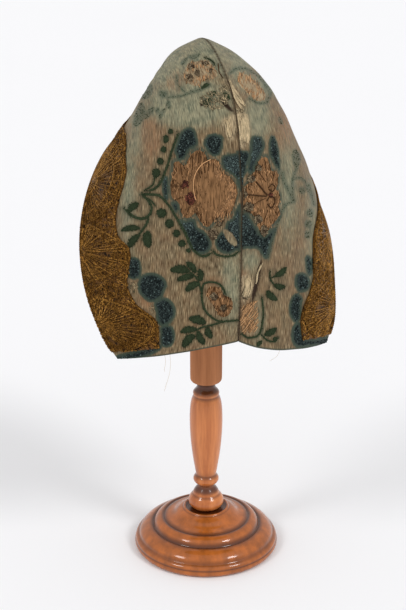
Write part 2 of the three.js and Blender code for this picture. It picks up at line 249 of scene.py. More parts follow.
# Outlines of the dark blue pile: lobes round the flowers, then the scallops beside the lace
PILE = {
    "left": [
        ((176.3, 156), (174.5, 150), (177, 141), (180, 133.5), (185.4, 128), (191.7, 127.5),
         (196.2, 132), (197.6, 138), (198.5, 143), (196.2, 147), (190, 150), (187.2, 156), (183.6, 160),
         (178, 160)),
        ((203.5, 142.6), (205.3, 138), (209, 134.5), (216, 133.6), (222.5, 136.3), (223.4, 142.6),
         (222.5, 148), (220.7, 153.5), (216, 157), (210.7, 155.3), (207, 151), (204.4, 146.3)),
        ((221.6, 157), (227, 153.5), (234, 153.5), (240, 151), (242, 168), (241.5, 190), (239.5, 190),
         (237, 183.4), (234.3, 177), (229.7, 173.4), (225, 170.7), (222.5, 167), (220.7, 161.7)),
        ((162.7, 178), (167.4, 176.5), (168.4, 183.4), (168.8, 192.5), (168.2, 200), (164.5, 199),
         (162.5, 190.7)),
        ((170.6, 202.5), (177.5, 203.5), (178.2, 210.6), (175, 212.5)),
        ((179.5, 218.7), (185.4, 220.5), (194.4, 218.7), (196.2, 224), (199, 228.7), (203.5, 230.5),
         (209, 236.8), (211.6, 244), (209.8, 250.4), (203.5, 254), (196.2, 253), (190.8, 248.6),
         (188, 241.4), (184.5, 233), (180.8, 226)),
        ((235.2, 210.6), (241, 205), (241.5, 247), (237, 250.4), (228.8, 254), (219.8, 251.3),
         (215.3, 245), (216.2, 237.8), (221.6, 231.4), (225.2, 227), (227, 221.4), (232.5, 217.8)),
        ((128.8, 260), (133.2, 257), (139.3, 260), (141, 267), (141, 275), (136.7, 279), (129.7, 278.3),
         (127.9, 272)),
        ((141, 275.7), (148, 273), (157.7, 274), (164.7, 279), (167.3, 285.3), (164.7, 291.4),
         (162, 297.6), (154, 302), (147, 301), (141, 295), (137.6, 288), (138.4, 281)),
        ((154, 303), (163, 297.6), (170, 300), (175, 306.3), (176, 314), (172.5, 321), (166.4, 325.5),
         (160.3, 325.5), (156.8, 319.4), (155.9, 312.4)),
        ((161, 326.4), (167.3, 324.7), (173.4, 328), (175, 337), (172.5, 345), (166.4, 347.4),
         (161, 345), (160.3, 335)),
        ((116, 355.5), (138.4, 350), (150.7, 346), (160.3, 344), (161, 349), (150.7, 355),
         (134.9, 359.5), (117, 360)),
    ],
    "right": [
        ((237, 152.6), (244, 150.8), (249.7, 152.6), (248.8, 159), (247, 165.3), (247, 171),
         (243.3, 178), (240.5, 187), (237, 187)),
        ((249.7, 150), (250.6, 139), (254.2, 135.4), (261.4, 137), (264.2, 143.6), (263.3, 150),
         (258.7, 160), (255, 167), (254.2, 171.6), (249.7, 173.4), (247, 170.7), (247.4, 163.5)),
        ((268.7, 142.6), (270.5, 136.5), (274.1, 136.5), (277.8, 147), (279.6, 160.8), (280, 170.7),
         (276.8, 169), (272.3, 162.6), (268.7, 153.5)),
        ((239, 216), (246, 212.5), (250.6, 217.8), (256, 227), (260.5, 234), (264.2, 236),
         (269.6, 230.5), (274, 227.8), (276.5, 229), (272.3, 240.5), (268.7, 256), (264.2, 258.6),
         (257.8, 249.5), (247, 248.6), (239, 247)),
        ((305.4, 257), (309.3, 255.6), (312.5, 262), (311.5, 274), (308, 275.2), (305.4, 267.3)),
        ((295, 276.5), (299.6, 272.6), (306, 274), (310, 280.4), (309, 288.2), (303.5, 292),
         (298.3, 292), (295, 285.6)),
        ((289, 305), (292.4, 296), (298.3, 293.4), (302, 298.6), (301, 306.5), (301, 317), (297, 323.4),
         (292.4, 320.8), (289, 314.3)),
        ((291, 332.5), (293.7, 324.7), (299.6, 322), (302.5, 330), (304.5, 337), (312, 338.5),
         (328, 336), (330, 345), (311.3, 347), (298.3, 348), (292.4, 343)),
    ],
}
# Places where the pile is worn pale
PALE_PILE = rows(Spot, {
    "left": [(231, 165, 9, 9), (189, 224, 8, 5), (235, 221, 5, 13)],
    "right": [(254, 150, 6, 14), (247, 222, 5, 9)],
})
# Places where dots, leaves and vines are worn flat and faded
WORN = rows(Spot, {
    "left": [(165, 84, 42, 42), (135, 126, 12, 12)],
    "right": [(262, 88, 42, 48), (311, 224, 12, 30), (292, 185, 24, 56)],
})
# Tan wedges left bare inside the pile, straw-coloured worn silk, and slits and holes
WEDGES = {
    "left": [
        ((224, 229), (230, 231), (235, 237), (238, 244), (235, 246.5), (230, 243.5), (226, 239),
         (223.8, 233.5)),
    ],
    "right": [],
}
STRAW = {
    "left": [((223, 120), (229, 117), (234, 116), (235, 134), (231, 140), (227, 134), (224, 128))],
    "right": [
        ((230, 114), (238.8, 112), (247, 114.6), (249.5, 122), (248.4, 134), (245, 146), (240, 147),
         (234, 138)),
        ((242, 277), (251, 277), (252.5, 284), (250, 297), (242, 299)),
    ],
}
SLITS = {
    "left": [
        ((199.5, 104.5), (203, 100.5), (208, 99), (210, 101), (206, 104.5), (201, 106)),
        ((221, 98), (226, 101), (231, 108), (233, 112), (228, 110), (222, 104)),
    ],
    "right": [
        ((261.5, 260), (258, 270), (255, 284), (252.8, 294), (252.6, 303), (255.4, 297.5), (258.6, 287),
         (261.4, 270)),
        ((243, 292), (246, 291.5), (247.5, 297), (245, 300), (242.5, 298)),
        ((231, 109), (235, 109), (237, 112), (234, 115), (231, 113)),
    ],
}
GREEN = rows(Spot, {
    "left": [
        (190, 104, 44, 24), (214, 55, 26, 22), (128, 188, 6, 52), (231, 286, 9, 36), (165, 62, 20, 26),
        (132, 132, 8, 24),
    ],
    "right": [
        (262, 62, 34, 34), (288, 185, 8, 42), (250, 261, 8, 10), (312, 230, 4, 45), (258, 118, 12, 22),
        (258, 322, 4, 14),
    ],
})
PINK = rows(Spot, {
    "left": [(146, 303, 9, 8), (128, 131, 6, 10), (152, 138, 9, 18), (216, 282, 9, 5), (176, 82, 8, 10)],
    "right": [(249, 318, 8, 17), (244, 275, 3.5, 6), (286, 128, 8, 18), (262, 72, 14, 6)],
})
# Brocaded flowers: one outline each, round a middle
FLOWERS = rows(Patch, {
    "left": [
        (201, 189, ((200.8, 148), (206.2, 152.6), (208, 158), (210.7, 159), (218, 160), (219.8, 164.4),
         (220.2, 170.7), (225.2, 173.4), (231.6, 178), (236, 185.2), (237.9, 192.5), (237, 199),
         (234.3, 206), (232.5, 211.5), (226, 216), (222.5, 217.8), (218, 219.6), (214.3, 224.2),
         (209, 229.6), (205.3, 228.7), (200.8, 224.2), (197, 217.8), (195.3, 215), (190, 218.7),
         (186.3, 220.5), (181.7, 217.8), (179, 211.5), (178, 206), (173.6, 200.6), (170, 198.8),
         (169, 192.5), (168.2, 185.2), (169, 179), (171, 170.7), (171.8, 162.6), (175.4, 159),
         (180, 160.8), (182.6, 164.4), (185.4, 162.6), (188, 156.2), (191.7, 151), (196.2, 148)), 0.3),
        (200, 73, ((185.4, 66.7), (190.2, 62), (198, 61.2), (204.5, 59.6), (210, 61.2), (213.3, 66),
         (218, 71.5), (218, 77), (213.3, 79.5), (207, 79.5), (202, 82), (199.7, 86.7), (193.3, 86),
         (187, 83.5), (183.8, 79.5), (183.8, 73)), 0.54, True),
        (217, 301, ((206, 291), (209, 287), (215, 286), (221, 289), (224, 295), (230, 297.5),
         (233.5, 303), (232.5, 310), (229, 316), (224, 318), (219, 316), (215, 309), (211, 302),
         (207, 297)), 0.5),
    ],
    "right": [
        (265, 195, ((264.2, 154.4), (267.8, 156), (269.6, 163.5), (271.4, 169), (276.8, 170.7),
         (278.7, 174.3), (278.7, 183.4), (276.8, 189), (279.6, 192.5), (280.5, 201.5), (278.7, 207),
         (281.4, 215), (278.7, 219.6), (276.8, 222.4), (271.4, 227.8), (267, 235), (262.4, 236.8),
         (258.7, 232.3), (256, 225), (254.2, 219.6), (250.6, 215), (245, 211.5), (242, 206),
         (240.3, 199), (240.3, 191), (243.3, 186), (247, 181.6), (248.8, 175.3), (253.3, 170.7),
         (256, 165.3), (257.8, 160), (260.5, 156.2)), 0.6),
        (251, 87, ((236.4, 76.3), (238.8, 73), (245.2, 73), (251.6, 77), (258, 83.5), (264.3, 90.7),
         (266.7, 96.3), (263.5, 101), (257, 101), (250.8, 96.3), (244.4, 90.7), (238.8, 84.3)), 0.8,
         True),
    ],
})
# The big smooth petal that lies over the left flower
PLATES = rows(Patch, {
    "left": [
        (215, 192, ((210.7, 159.5), (218, 160.5), (219.8, 165), (220.5, 171), (225.5, 174),
         (231.6, 178.5), (236, 185.5), (237.5, 192.5), (236.5, 199), (234, 206), (231, 212), (224, 217),
         (216, 219), (207, 214), (199, 207), (196, 199.7), (194.4, 191.6), (194, 182.5), (196.2, 173.4),
         (202.6, 164.4))),
    ],
    "right": [],
})
# Dark threads on the flowers: rays, loops and petal edges. Pale threads: the smooth petal's rim.
RAYS = rows(Vine, {
    "left": [
        (1.5, ((204.5, 167), (205.5, 173))),
        (1.3, ((209, 163), (208.5, 171))),
        (1.3, ((214, 163), (213.5, 172))),
        (1.2, ((218, 167), (217.4, 175))),
        (1.2, ((199, 170), (201, 178))),
        (0.9, ((180.5, 164), (183, 178))),
        (0.9, ((171, 186), (181, 186))),
        (0.9, ((174, 200), (184, 197))),
        (0.9, ((186, 216), (190, 207))),
        (0.9, ((193, 156), (193, 170))),
        (0.9, ((199, 153), (199, 163))),
        (1.1, ((216, 291), (219, 297), (221, 304))),
        (1.1, ((212, 290), (211, 295))),
        (1.1, ((217, 306), (221, 312))),
        (1.3, ((218.5, 64), (219.7, 73), (223.6, 78.7))),
    ],
    "right": [
        (2.1, ((255, 181.6), (259.6, 187), (264.2, 192.5), (267, 195.2))),
        (1.9, ((245, 194.3), (254.2, 195.2), (266, 196.3))),
        (1.0, ((250.6, 206), (257.8, 201.5), (265, 198.5))),
        (1.6, ((267.5, 188), (271, 184.2), (274.6, 187.5), (271.5, 191.5), (268, 189))),
        (1.6, ((266.5, 201), (269, 196.5), (273, 197.5), (274, 203), (270.5, 207.5), (267, 204))),
        (1.0, ((264, 160), (266, 180))),
        (1.0, ((257, 170), (265, 182))),
        (1.0, ((274, 173), (271, 182))),
        (1.0, ((262, 224), (267, 211))),
        (1.0, ((277, 214), (272, 208))),
    ],
})
PALE_RIMS = rows(Vine, {
    "left": [
        (0.9, ((211, 159.5), (202.6, 164.4), (196.2, 173.4), (194, 182.5), (194.4, 191.6),
         (196.2, 199.7))),
    ],
    "right": [],
})
# Dark red stamens, speckled knots, and bits of frayed thread
STAMENS = rows(Spot, {
    "left": [(185.4, 184.8, 4, 4.2), (190.8, 198.3, 5.2, 6)],
    "right": [(270, 195.3, 2.2, 2.2)],
})
SPECKLES = rows(Spot, {
    "left": [
        (219.8, 221.4, 4, 4), (213.4, 233.5, 4.2, 5.5), (190, 78, 3.6, 2.8), (192, 67.5, 3, 2.4),
        (205.5, 64, 3, 2), (212, 72, 2, 1.8), (198, 74, 2.2, 3), (214, 296, 3.6, 3.4),
        (224, 308, 3, 3.6),
    ],
    "right": [
        (250.6, 178.9, 3.6, 3.6), (242.8, 193.4, 2.8, 6.3), (247.9, 207, 5, 4.4), (257.8, 218.7, 4, 4),
        (263.3, 230.5, 3.2, 5.4), (258, 168, 2.6, 2.6),
    ],
})
FRAYS = rows(Spot, {
    "left": [(214, 101, 14, 9), (224, 92, 5, 8), (152, 309, 3, 4), (134, 287, 4, 5)],
    "right": [(236, 111, 8, 3), (246, 295, 4, 4), (229, 90, 2.5, 6), (251, 318, 3, 4)],
})
# Bared threads that lie side by side along a line, cream or straw
BARED = rows(Vine, {
    "left": [(5, ((226, 119), (228, 128), (230, 138)))],
    "right": [
        (6.5, ((226.5, 80.3), (230, 87.5), (236, 97), (240, 102.6), (245.5, 108.5))),
        (11, ((240.5, 114), (242.5, 128), (243.5, 145))),
        (2.2, ((234.8, 117), (238, 128), (241.5, 140))),
        (6.5, ((249, 278), (247.5, 288), (245, 298))),
        (1.6, ((262.5, 262), (258, 272), (256, 284))),
    ],
})
LAID = Spot(249, 317, 7.0, 13.5)

# Threads of the embroidery: a dark and a pale colour with their shares, streaks to 100 mm, and finish
Thread = namedtuple("Thread", "dark dark_share pale pale_share across along shine metal grain",
                    defaults=(0.1, 0.0, 0.45))
THREADS = {
    "green_pile": Thread("leaf", 0.55, "leaf", 1.7, 150.0, 40.0, 0.03),
    "blue_pile": Thread("pile", 0.2, "pile_pale", 1.0, 160.0, 40.0, 0.03, grain=0.08),
    "brown_petals": Thread("petal_dark", 0.7, "petal", 1.8, 95.0, 13.0, grain=0.62),
    "pale_petals": Thread("petal_dark", 1.0, "straw", 0.62, 95.0, 16.0, grain=0.6),
    "dark_rays": Thread("petal_dark", 0.5, "petal_dark", 1.2, 100.0, 20.0),
    "red_stamens": Thread("stamen", 0.25, "stamen", 5.0, 100.0, 60.0, grain=0.1),
    "speckled_knots": Thread("petal_dark", 0.3, "straw", 0.5, 100.0, 60.0, grain=0.1),
    "gold_glints": Thread("petal", 0.5, "glint", 1.5, 120.0, 20.0, 0.3, 0.3, 0.25),
    "frayed_threads": Thread("leaf", 0.6, "straw", 1.1, 140.0, 20.0),
    "laid_threads": Thread("petal_dark", 1.0, "glint", 1.2, 120.0, 30.0),
    "seam_stitches": Thread("hole", 1.0, "ground", 0.7, 90.0, 90.0),
    "loose_threads": Thread("ground", 0.9, "straw", 1.1, 50.0, 50.0),
}
# Pieces of flower work and the thread that each is worked in
FLOWER_WORK = (
    ("petals", "brown_petals"), ("pale_petals", "pale_petals"), ("petal_rays", "dark_rays"),
    ("stamens", "red_stamens"), ("speckled_knots", "speckled_knots"), ("gold_glints", "gold_glints"),
)
# Wood finishes: ends of the roughness over the grain, depth of the pores, and varnish coat
Finish = namedtuple("Finish", "smooth rough pores coat")
VARNISH, MATT = Finish(-1.2, 3.2, 0.05, 0.75), Finish(-2.2, 1.6, 0.16, 0.0)
# Loose threads: share from the seam along the hem, fall and drift in millimetres
Loose = namedtuple("Loose", "u fall drift")
LOOSE = rows(Loose, {"left": [(0.55, 30, -3), (0.60, 14, 2)], "right": [(0.36, 9, -6)]})
Lamp = namedtuple("Lamp", "name aside back up share")
LAMPS = [Lamp("broad_left", -1.0, -0.8, 1.15, 0.85), Lamp("broad_right", 1.0, -0.8, 1.15, 1.2)]


def linear(red, green, blue):
    """Scene colour of a screen colour given from 0 to 255."""
    return tuple(c / 12.92 if c <= 0.04045 else ((c + 0.055) / 1.055) ** 2.4
                 for c in (red / 255, green / 255, blue / 255))


def colour(name, description, default):
    return FloatVectorProperty(name=name, description=description, subtype="COLOR", size=3, min=0, max=1,
                               default=linear(*default))


def length(name, description, default):
    return FloatProperty(name=name, description=description, default=default, unit="LENGTH")


def angle(name, description, degrees):
    return FloatProperty(name=name, description=description, default=math.radians(degrees), subtype="ANGLE")


class StandLook(bpy.types.PropertyGroup):
    """Finish of the turned stand"""
    steps: IntProperty(name="Turning steps", description="Faces round a turned piece", default=72, min=24)
    varnish: colour("Varnish", "Varnished wood of the base and stem", (212, 130, 70))
    varnish_dark: colour("Dark grain", "Dark grain under the varnish", (168, 90, 40))
    # Foot: a darker copy of the stem's varnish for the base, as painted shade on the base
    foot: colour("Foot", "Darker orange varnish of the base", (184, 100, 34))
    # Groove colour: painted shade that darkens the grooves and the joins of the stand
    groove: colour("Groove", "Stain that gathers in the grooves", (84, 40, 14))
    pale: colour("Column wood", "Matt wood of the column", (196, 131, 88))
    pale_dark: colour("Column grain", "Darker grain lines of the column", (162, 103, 65))


class SilkLook(bpy.types.PropertyGroup):
    """Colours of the silk and its embroidery"""
    across: IntProperty(name="Faces across", description="Faces from the seam to the edge", default=144)
    along: IntProperty(name="Faces along", description="Faces from the hem to the crown", default=288)
    pucker: length("Pucker", "Height of the cloth's puckers", 0.0003)
    ground: colour("Ground", "Main silk ground", (120, 104, 78))
    ground_dark: colour("Ground dark", "Dark threads of the ground", (70, 55, 34))
    ground_pale: colour("Ground pale", "Pale threads of the ground", (164, 145, 113))
    green: colour("Green silk", "Greenish worn silk", (142, 140, 114))
    pink: colour("Pink silk", "Pinkish brown silk", (146, 104, 72))
    straw: colour("Straw", "Pale bared threads in the worn places", (222, 198, 158))
    # Hole colour: the dark of the slits, and also the painted shade along the seam
    hole: colour("Hole", "Dark of the slits and holes", (48, 34, 22))
    rim: colour("Pile rim", "Grey-green edge of the blue pile", (58, 70, 58))
    pile: colour("Pile", "Dark blue pile", (36, 46, 46))
    # Pile tips: pale threads of the pile, whose pale specks also stand as painted highlights on the tufts
    pile_pale: colour("Pile tips", "Pale tips of the blue pile", (104, 122, 118))
    leaf: colour("Leaf", "Dark green leaves, dots and vines", (48, 58, 40))
    faded: colour("Faded leaf", "Green of the worn sprigs", (72, 84, 68))
    petal: colour("Petal", "Brown brocaded petals", (122, 90, 60))
    petal_dark: colour("Petal dark", "Dark threads of the petals", (76, 51, 28))
    # Glint: gold thread on the petals, pale enough to stand also as painted highlight
    glint: colour("Glint", "Gold threads on the petals", (196, 152, 108))
    stamen: colour("Stamen", "Dark red stamens", (68, 36, 27))
    reverse: colour("Reverse", "Plain reverse of the cloth", (150, 132, 100))


class LaceLook(bpy.types.PropertyGroup):
    """Metal lace"""
    strand: length("Strand", "Radius of a lace strand", 0.00034)
    spacing: length("Loop spacing", "Distance between loops", 0.0024)
    rays: IntProperty(name="Rays", description="Rays in one fan", default=31)
    gold: colour("Gold", "Bright gold thread", (214, 158, 78))
    tarnish: colour("Tarnish", "Tarnished thread", (108, 70, 22))
    backing: colour("Backing", "Net under the strands", (108, 73, 34))
    # Gap colour: painted shade in the gaps between the lace's threads
    gap: colour("Gap", "Dark gaps of the net", (24, 13, 3))


class Studio(bpy.types.PropertyGroup):
    """Camera, floor and lights"""
    distance: length("Distance", "Level distance from the stand's axis", 1.140)
    height: length("Height", "Height over the floor", 0.6715)
    azimuth: angle("Azimuth", "Turn round the stand", -15)
    pitch: angle("Pitch", "Tilt downwards", 21.82)
    focal: FloatProperty(name="Focal length", description="Focal length in picture pixels", default=1546)
    axis_x: FloatProperty(name="Axis", description="Picture column of the stand's axis", default=206.2)
    floor: colour("Floor", "Plain pale floor", (244, 244, 246))
    sky: FloatProperty(name="Sky", description="Strength of the even light", default=0.72)
    key: FloatProperty(name="Key", description="Strength of the broad lights", default=0.8)
    breadth: angle("Breadth", "Width of each light as seen from the bonnet", 15)


def unit(vectors):
    return vectors / np.maximum(np.linalg.norm(vectors, axis=-1, keepdims=True), 1e-12)


def curve_through(table, key, field):
    """Smooth curve through one column of a table, keyed by another of its columns."""
    at = np.array([getattr(row, key) for row in table], float)
    value = np.array([getattr(row, field) for row in table], float)
    step = np.diff(at)
    slope = np.diff(value) / step
    middle = (step[1:] * slope[:-1] + step[:-1] * slope[1:]) / (step[1:] + step[:-1])
    ends = 1.5 * slope[[0, -1]] - 0.5 * middle[[0, -1]]
    tangent = np.concatenate([ends[:1], middle, ends[1:]])

    def curve(x):
        x = np.asarray(x, float)
        i = np.clip(np.searchsorted(at, x) - 1, 0, len(step) - 1)
        t = (x - at[i]) / step[i]
        s = 1 - t
        return ((1 + 2 * t) * s * s * value[i] + t * s * s * step[i] * tangent[i]
                + t * t * (3 - 2 * t) * value[i + 1] - t * t * s * step[i] * tangent[i + 1])
    return curve


def runs(points):
    """Length gone along each point of a row of points."""
    return np.concatenate([[0], np.cumsum(np.linalg.norm(np.diff(points, axis=0), axis=-1))])


def smooth_route(route, spacing, closed=False):
    """Points at an even spacing on a smooth line through a route, or round it."""
    route = np.array(route, float)
    if closed:
        padded = np.concatenate([route[-1:], route, route[:2]])
    else:
        padded = np.concatenate([[2 * route[0] - route[1]], route, [2 * route[-1] - route[-2]]])
    t = np.linspace(0, 1, 13)[:-1, None]
    line = []
    for a, b, c, d in zip(padded, padded[1:], padded[2:], padded[3:]):
        line.append(0.5 * (2 * b + (c - a) * t + (2 * a - 5 * b + 4 * c - d) * t ** 2
                           + (3 * b - 3 * c + d - a) * t ** 3))
    line = np.concatenate(line + [route[:1] if closed else route[-1:]])
    gone = runs(line)
    even = np.linspace(0, gone[-1], max(3, int(round(gone[-1] / spacing)) + 1))
    return np.stack([np.interp(even, gone, line[:, k]) for k in range(line.shape[1])], -1)


class Eye:
    """The photograph's camera: where it stands, and which pixel shows a point."""

    def __init__(self, studio):
        a, p = studio.azimuth, studio.pitch
        level = np.array([-math.sin(a), math.cos(a), 0])
        upright = np.array([0, 0, 1.0])
        self.right = np.array([math.cos(a), math.sin(a), 0])
        self.view = level * math.cos(p) - upright * math.sin(p)
        self.up = level * math.sin(p) + upright * math.cos(p)
        self.focal = studio.focal
        aside = (studio.axis_x - PICTURE_WIDTH / 2) * studio.distance / math.cos(p) / studio.focal
        self.place = -level * studio.distance + upright * studio.height - self.right * aside

    def picture(self, points):
        offset = points - self.place
        depth = offset @ self.view
        return np.stack([PICTURE_WIDTH / 2 + self.focal * (offset @ self.right) / depth,
                         PICTURE_HEIGHT / 2 - self.focal * (offset @ self.up) / depth], -1)


class Half:
    """One half of the cloth: u goes from the seam to the front edge, q from the hem to the crown."""

    def __init__(self, name, side, eye, pucker):
        self.name, self.side, self.fullness, self.eye, self.pucker = name, side, FULLNESS[name], eye, pucker
        self.rib = {field: curve_through(RIBS, "q", field) for field in Rib._fields[1:]}
        self.hem_rise = curve_through(HEMS[name], "u", "rise")
        self.widths = curve_through(LACE_WIDTHS[name], "run", "width")
        self.q_steps = np.linspace(0, 1, Q_STEPS)
        grid = self.point(np.linspace(0, 1, U_STEPS)[None, :], self.q_steps[:, None])
        self.rib_lengths = np.linalg.norm(np.diff(grid, axis=1), axis=2).sum(1)
        self.edge_runs = runs(grid[:, -1])
        self.seam_runs = runs(grid[:, 0])
        u, q = np.meshgrid(np.linspace(0, 1, U_STEPS), np.linspace(0, 1, Q_SAMPLES))
        u, q = u.ravel(), q.ravel()
        facing = self.seen(u, q)
        self.samples = np.stack([u, q], -1)[facing]
        self.sample_pixels = self.pixels(u, q)[facing]

    def point(self, u, q):
        u, q = np.broadcast_arrays(np.asarray(u, float), np.asarray(q, float))
        rib = {field: curve(q) for field, curve in self.rib.items()}
        nought = np.zeros_like(q)
        seam = np.stack([nought, rib["seam_y"], rib["seam_z"]], -1)
        chord = np.stack([rib["edge_x"], rib["edge_y"], rib["edge_z"]], -1) - seam
        ahead, behind = np.clip(q + 0.001, 0, 1), np.clip(q - 0.001, 0, 1)
        along = np.stack([nought, self.rib["seam_y"](ahead) - self.rib["seam_y"](behind),
                          self.rib["seam_z"](ahead) - self.rib["seam_z"](behind)], -1)
        bulge = self.fullness * rib["bulge"] * np.sin(np.pi * u)
        point = seam + chord * u[..., None] + unit(np.cross(chord, along)) * bulge[..., None]
        point[..., 2] += self.hem_rise(u) * np.clip(1 - q / HEM_FADE, 0, None) ** 2
        point[..., 0] = self.side * (point[..., 0] + 0.5 * SEAM_GAP)
        return point * MM

    def normal(self, u, q):
        step = 0.002
        du = self.point(np.clip(u + step, 0, 1), q) - self.point(np.clip(u - step, 0, 1), q)
        dq = self.point(u, np.clip(q + step, 0, 1)) - self.point(u, np.clip(q - step, 0, 1))
        return unit(np.cross(du, dq) * self.side)

    def pixels(self, u, q):
        """Pixels of the photograph where places on the cloth lie."""
        return self.eye.picture(self.point(u, q))

    def seen(self, u, q):
        """Whether the cloth faces the photograph's camera."""
        return ((self.eye.place - self.point(u, q)) * self.normal(u, q)).sum(-1) > 0

    def cloth(self, u, q):
        """Millimetres across from the seam and along it."""
        across = u * np.interp(q, self.q_steps, self.rib_lengths)
        return np.stack([self.side * across, np.interp(q, self.q_steps, self.seam_runs) + 0 * u], -1) / MM

    def lift(self, u, q, height):
        """Points at a height over the puckered cloth, with the way out from it."""
        s, t = np.moveaxis(self.cloth(u, q), -1, 0)
        wave = (np.sin(s / 6.1 + 1.7 * np.sin(t / 13.0)) * np.sin(t / 8.3 + 0.9 * np.sin(s / 11.0))
                + 0.6 * np.sin(s / 15.0 - t / 21.0))
        edge = np.clip(s * self.side / 6.0, 0, 1) * np.clip((1 - u) * 12, 0, 1)
        out = self.normal(u, q)
        return self.point(u, q) + out * (height + self.pucker * wave * edge)[..., None], out

    def find(self, pixels):
        """Places on the cloth that pixels of the photograph show."""
        pixels = np.atleast_2d(np.asarray(pixels, float))
        nearest = [((part[:, None] - self.sample_pixels[None]) ** 2).sum(-1).argmin(1)
                   for part in np.array_split(pixels, len(pixels) // 1500 + 1)]
        place = self.samples[np.concatenate(nearest)].copy()
        step = FIND_STEP
        for _ in range(FIND_ROUNDS):
            u, q = place.T
            du = (self.pixels(u + step, q) - self.pixels(u - step, q)) / (2 * step)
            q_up, q_down = np.clip(q + step, 0, 1), np.clip(q - step, 0, 1)
            dq = (self.pixels(u, q_up) - self.pixels(u, q_down)) / (q_up - q_down)[:, None]
            miss = pixels - self.pixels(u, q)
            area = du[:, 0] * dq[:, 1] - du[:, 1] * dq[:, 0]
            area = np.where(np.abs(area) < LEAST_AREA, np.copysign(LEAST_AREA, area), area)
            move_u = (miss[:, 0] * dq[:, 1] - miss[:, 1] * dq[:, 0]) / area
            move_q = (miss[:, 1] * du[:, 0] - miss[:, 0] * du[:, 1]) / area
            place[:, 0] = np.clip(u + np.clip(move_u, -FIND_MOVE, FIND_MOVE), *U_RANGE)
            place[:, 1] = np.clip(q + np.clip(move_q, -FIND_MOVE, FIND_MOVE), *Q_RANGE)
        return place[:, 0], place[:, 1]

    def lace_width(self, run):
        """Width of the lace where the front edge has run so far from the corner, in millimetres."""
        q = np.interp(run * MM, self.edge_runs, self.q_steps)
        most = (1 - LACE_SEAM_SHARE) * np.interp(q, self.q_steps, self.rib_lengths) / MM
        return np.minimum(self.widths(run), most)

    def from_edge(self, inward, run):
        """Place on the cloth, by millimetres in from the front edge and along it from the corner."""
        q = np.interp(run * MM, self.edge_runs, self.q_steps)
        u = 1 - inward * MM / np.interp(q, self.q_steps, self.rib_lengths)
        return u, q


def strip_area(widths, gone):
    """Area of a strip with these widths at these runs."""
    return float((0.5 * (widths[1:] + widths[:-1]) * np.diff(gone)).sum())


def halves(context):
    eye = Eye(context.scene.bonnet_studio)
    pucker = context.scene.bonnet_silk.pucker
    return [Half("left", -1, eye, pucker), Half("right", 1, eye, pucker)]


def spot_distance(spot, pixels):
    """Pixels from the rim of a spot, less than nothing inside it."""
    away = np.hypot((pixels[..., 0] - spot.x) / spot.across, (pixels[..., 1] - spot.y) / spot.down)
    return (away - 1) * min(spot.across, spot.down)


def outline_distance(outline, pixels, margin=9.0):
    """Pixels from a smoothed outline, less than nothing inside it, and at most a margin."""
    line = smooth_route(outline, 1.5, closed=True)
    near = ((pixels > line.min(0) - margin) & (pixels < line.max(0) + margin)).all(1)
    spots = pixels[near]
    nearest = np.full(len(spots), margin)
    inside = np.zeros(len(spots), bool)
    for a, b in zip(line, line[1:]):
        way = b - a
        share = np.clip(((spots - a) @ way) / (way @ way), 0, 1)
        nearest = np.minimum(nearest, np.linalg.norm(spots - a - share[:, None] * way, axis=1))
        crosses = (a[1] > spots[:, 1]) != (b[1] > spots[:, 1])
        rise = way[1] if abs(way[1]) > 1e-9 else 1e-9
        inside ^= crosses & (spots[:, 0] < a[0] + (spots[:, 1] - a[1]) * way[0] / rise)
    away = np.full(len(pixels), margin)
    away[near] = np.where(inside, -nearest, nearest)
    return away


def ragged(pixels, size):
    """A small waver that keeps the edges of worn places from being smooth."""
    x, y = pixels[..., 0], pixels[..., 1]
    return size * (np.sin(1.9 * x + 1.3 * np.sin(0.8 * y)) * np.sin(0.55 * y + np.sin(1.1 * x))
                   + 0.5 * np.sin(3.7 * x + 2.1 * y))


def soft(distance, edge):
    """One inside, nothing outside, with an edge of that many pixels."""
    share = np.clip(0.5 - distance / edge, 0, 1)
    return share * share * (3 - 2 * share)


def cover(shapes, pixels, mask):
    """How far a set of spots or outlines covers each pixel."""
    covered = np.zeros(len(pixels))
    rough = ragged(pixels, mask.waver)
    for shape in shapes:
        away = spot_distance(shape, pixels) if isinstance(shape, Spot) else outline_distance(shape, pixels)
        covered = np.maximum(covered, soft(away - mask.grow + rough, mask.edge))
    return covered


# Meshes
def pattern(make):
    """Points and faces of a small shape that bmesh operators make."""
    shape = bmesh.new()
    make(shape)
    shape.verts.ensure_lookup_table()
    shape.verts.index_update()
    points = np.array([v.co[:] for v in shape.verts])
    faces = [[v.index for v in face.verts] for face in shape.faces]
    shape.free()
    return points, faces


def bead_pattern(shape):
    bmesh.ops.create_icosphere(shape, subdivisions=1, radius=1)


def pebble_pattern(shape):
    bmesh.ops.create_icosphere(shape, subdivisions=2, radius=1)


def leaf_pattern(shape):
    bmesh.ops.create_uvsphere(shape, u_segments=10, v_segments=12, radius=1)


def spin(shape, row, steps, merge):
    """Spins a row of points round the upright axis, and merges what comes together."""
    edges = [shape.edges.new(pair) for pair in zip(row, row[1:])]
    bmesh.ops.spin(shape, geom=row + edges, cent=(0, 0, 0), axis=(0, 0, 1), angle=2 * math.pi, steps=steps,
                   use_merge=True)
    bmesh.ops.remove_doubles(shape, verts=shape.verts, dist=merge)


def disc_pattern(rings, spokes):
    """Round cushion made by spinning a row of points, closed underneath."""
    def make(shape):
        row = [shape.verts.new((r / rings, 0, 0)) for r in range(rings + 1)]
        spin(shape, row, spokes, 1e-5)
        bmesh.ops.edgeloop_fill(shape, edges=[e for e in shape.edges if e.is_boundary])
        bmesh.ops.recalc_face_normals(shape, faces=shape.faces)
    return make


def mesh_of(shape, name):
    """Mesh of a bmesh, which is freed."""
    mesh = bpy.data.meshes.new(name)
    shape.to_mesh(mesh)
    shape.free()
    return mesh


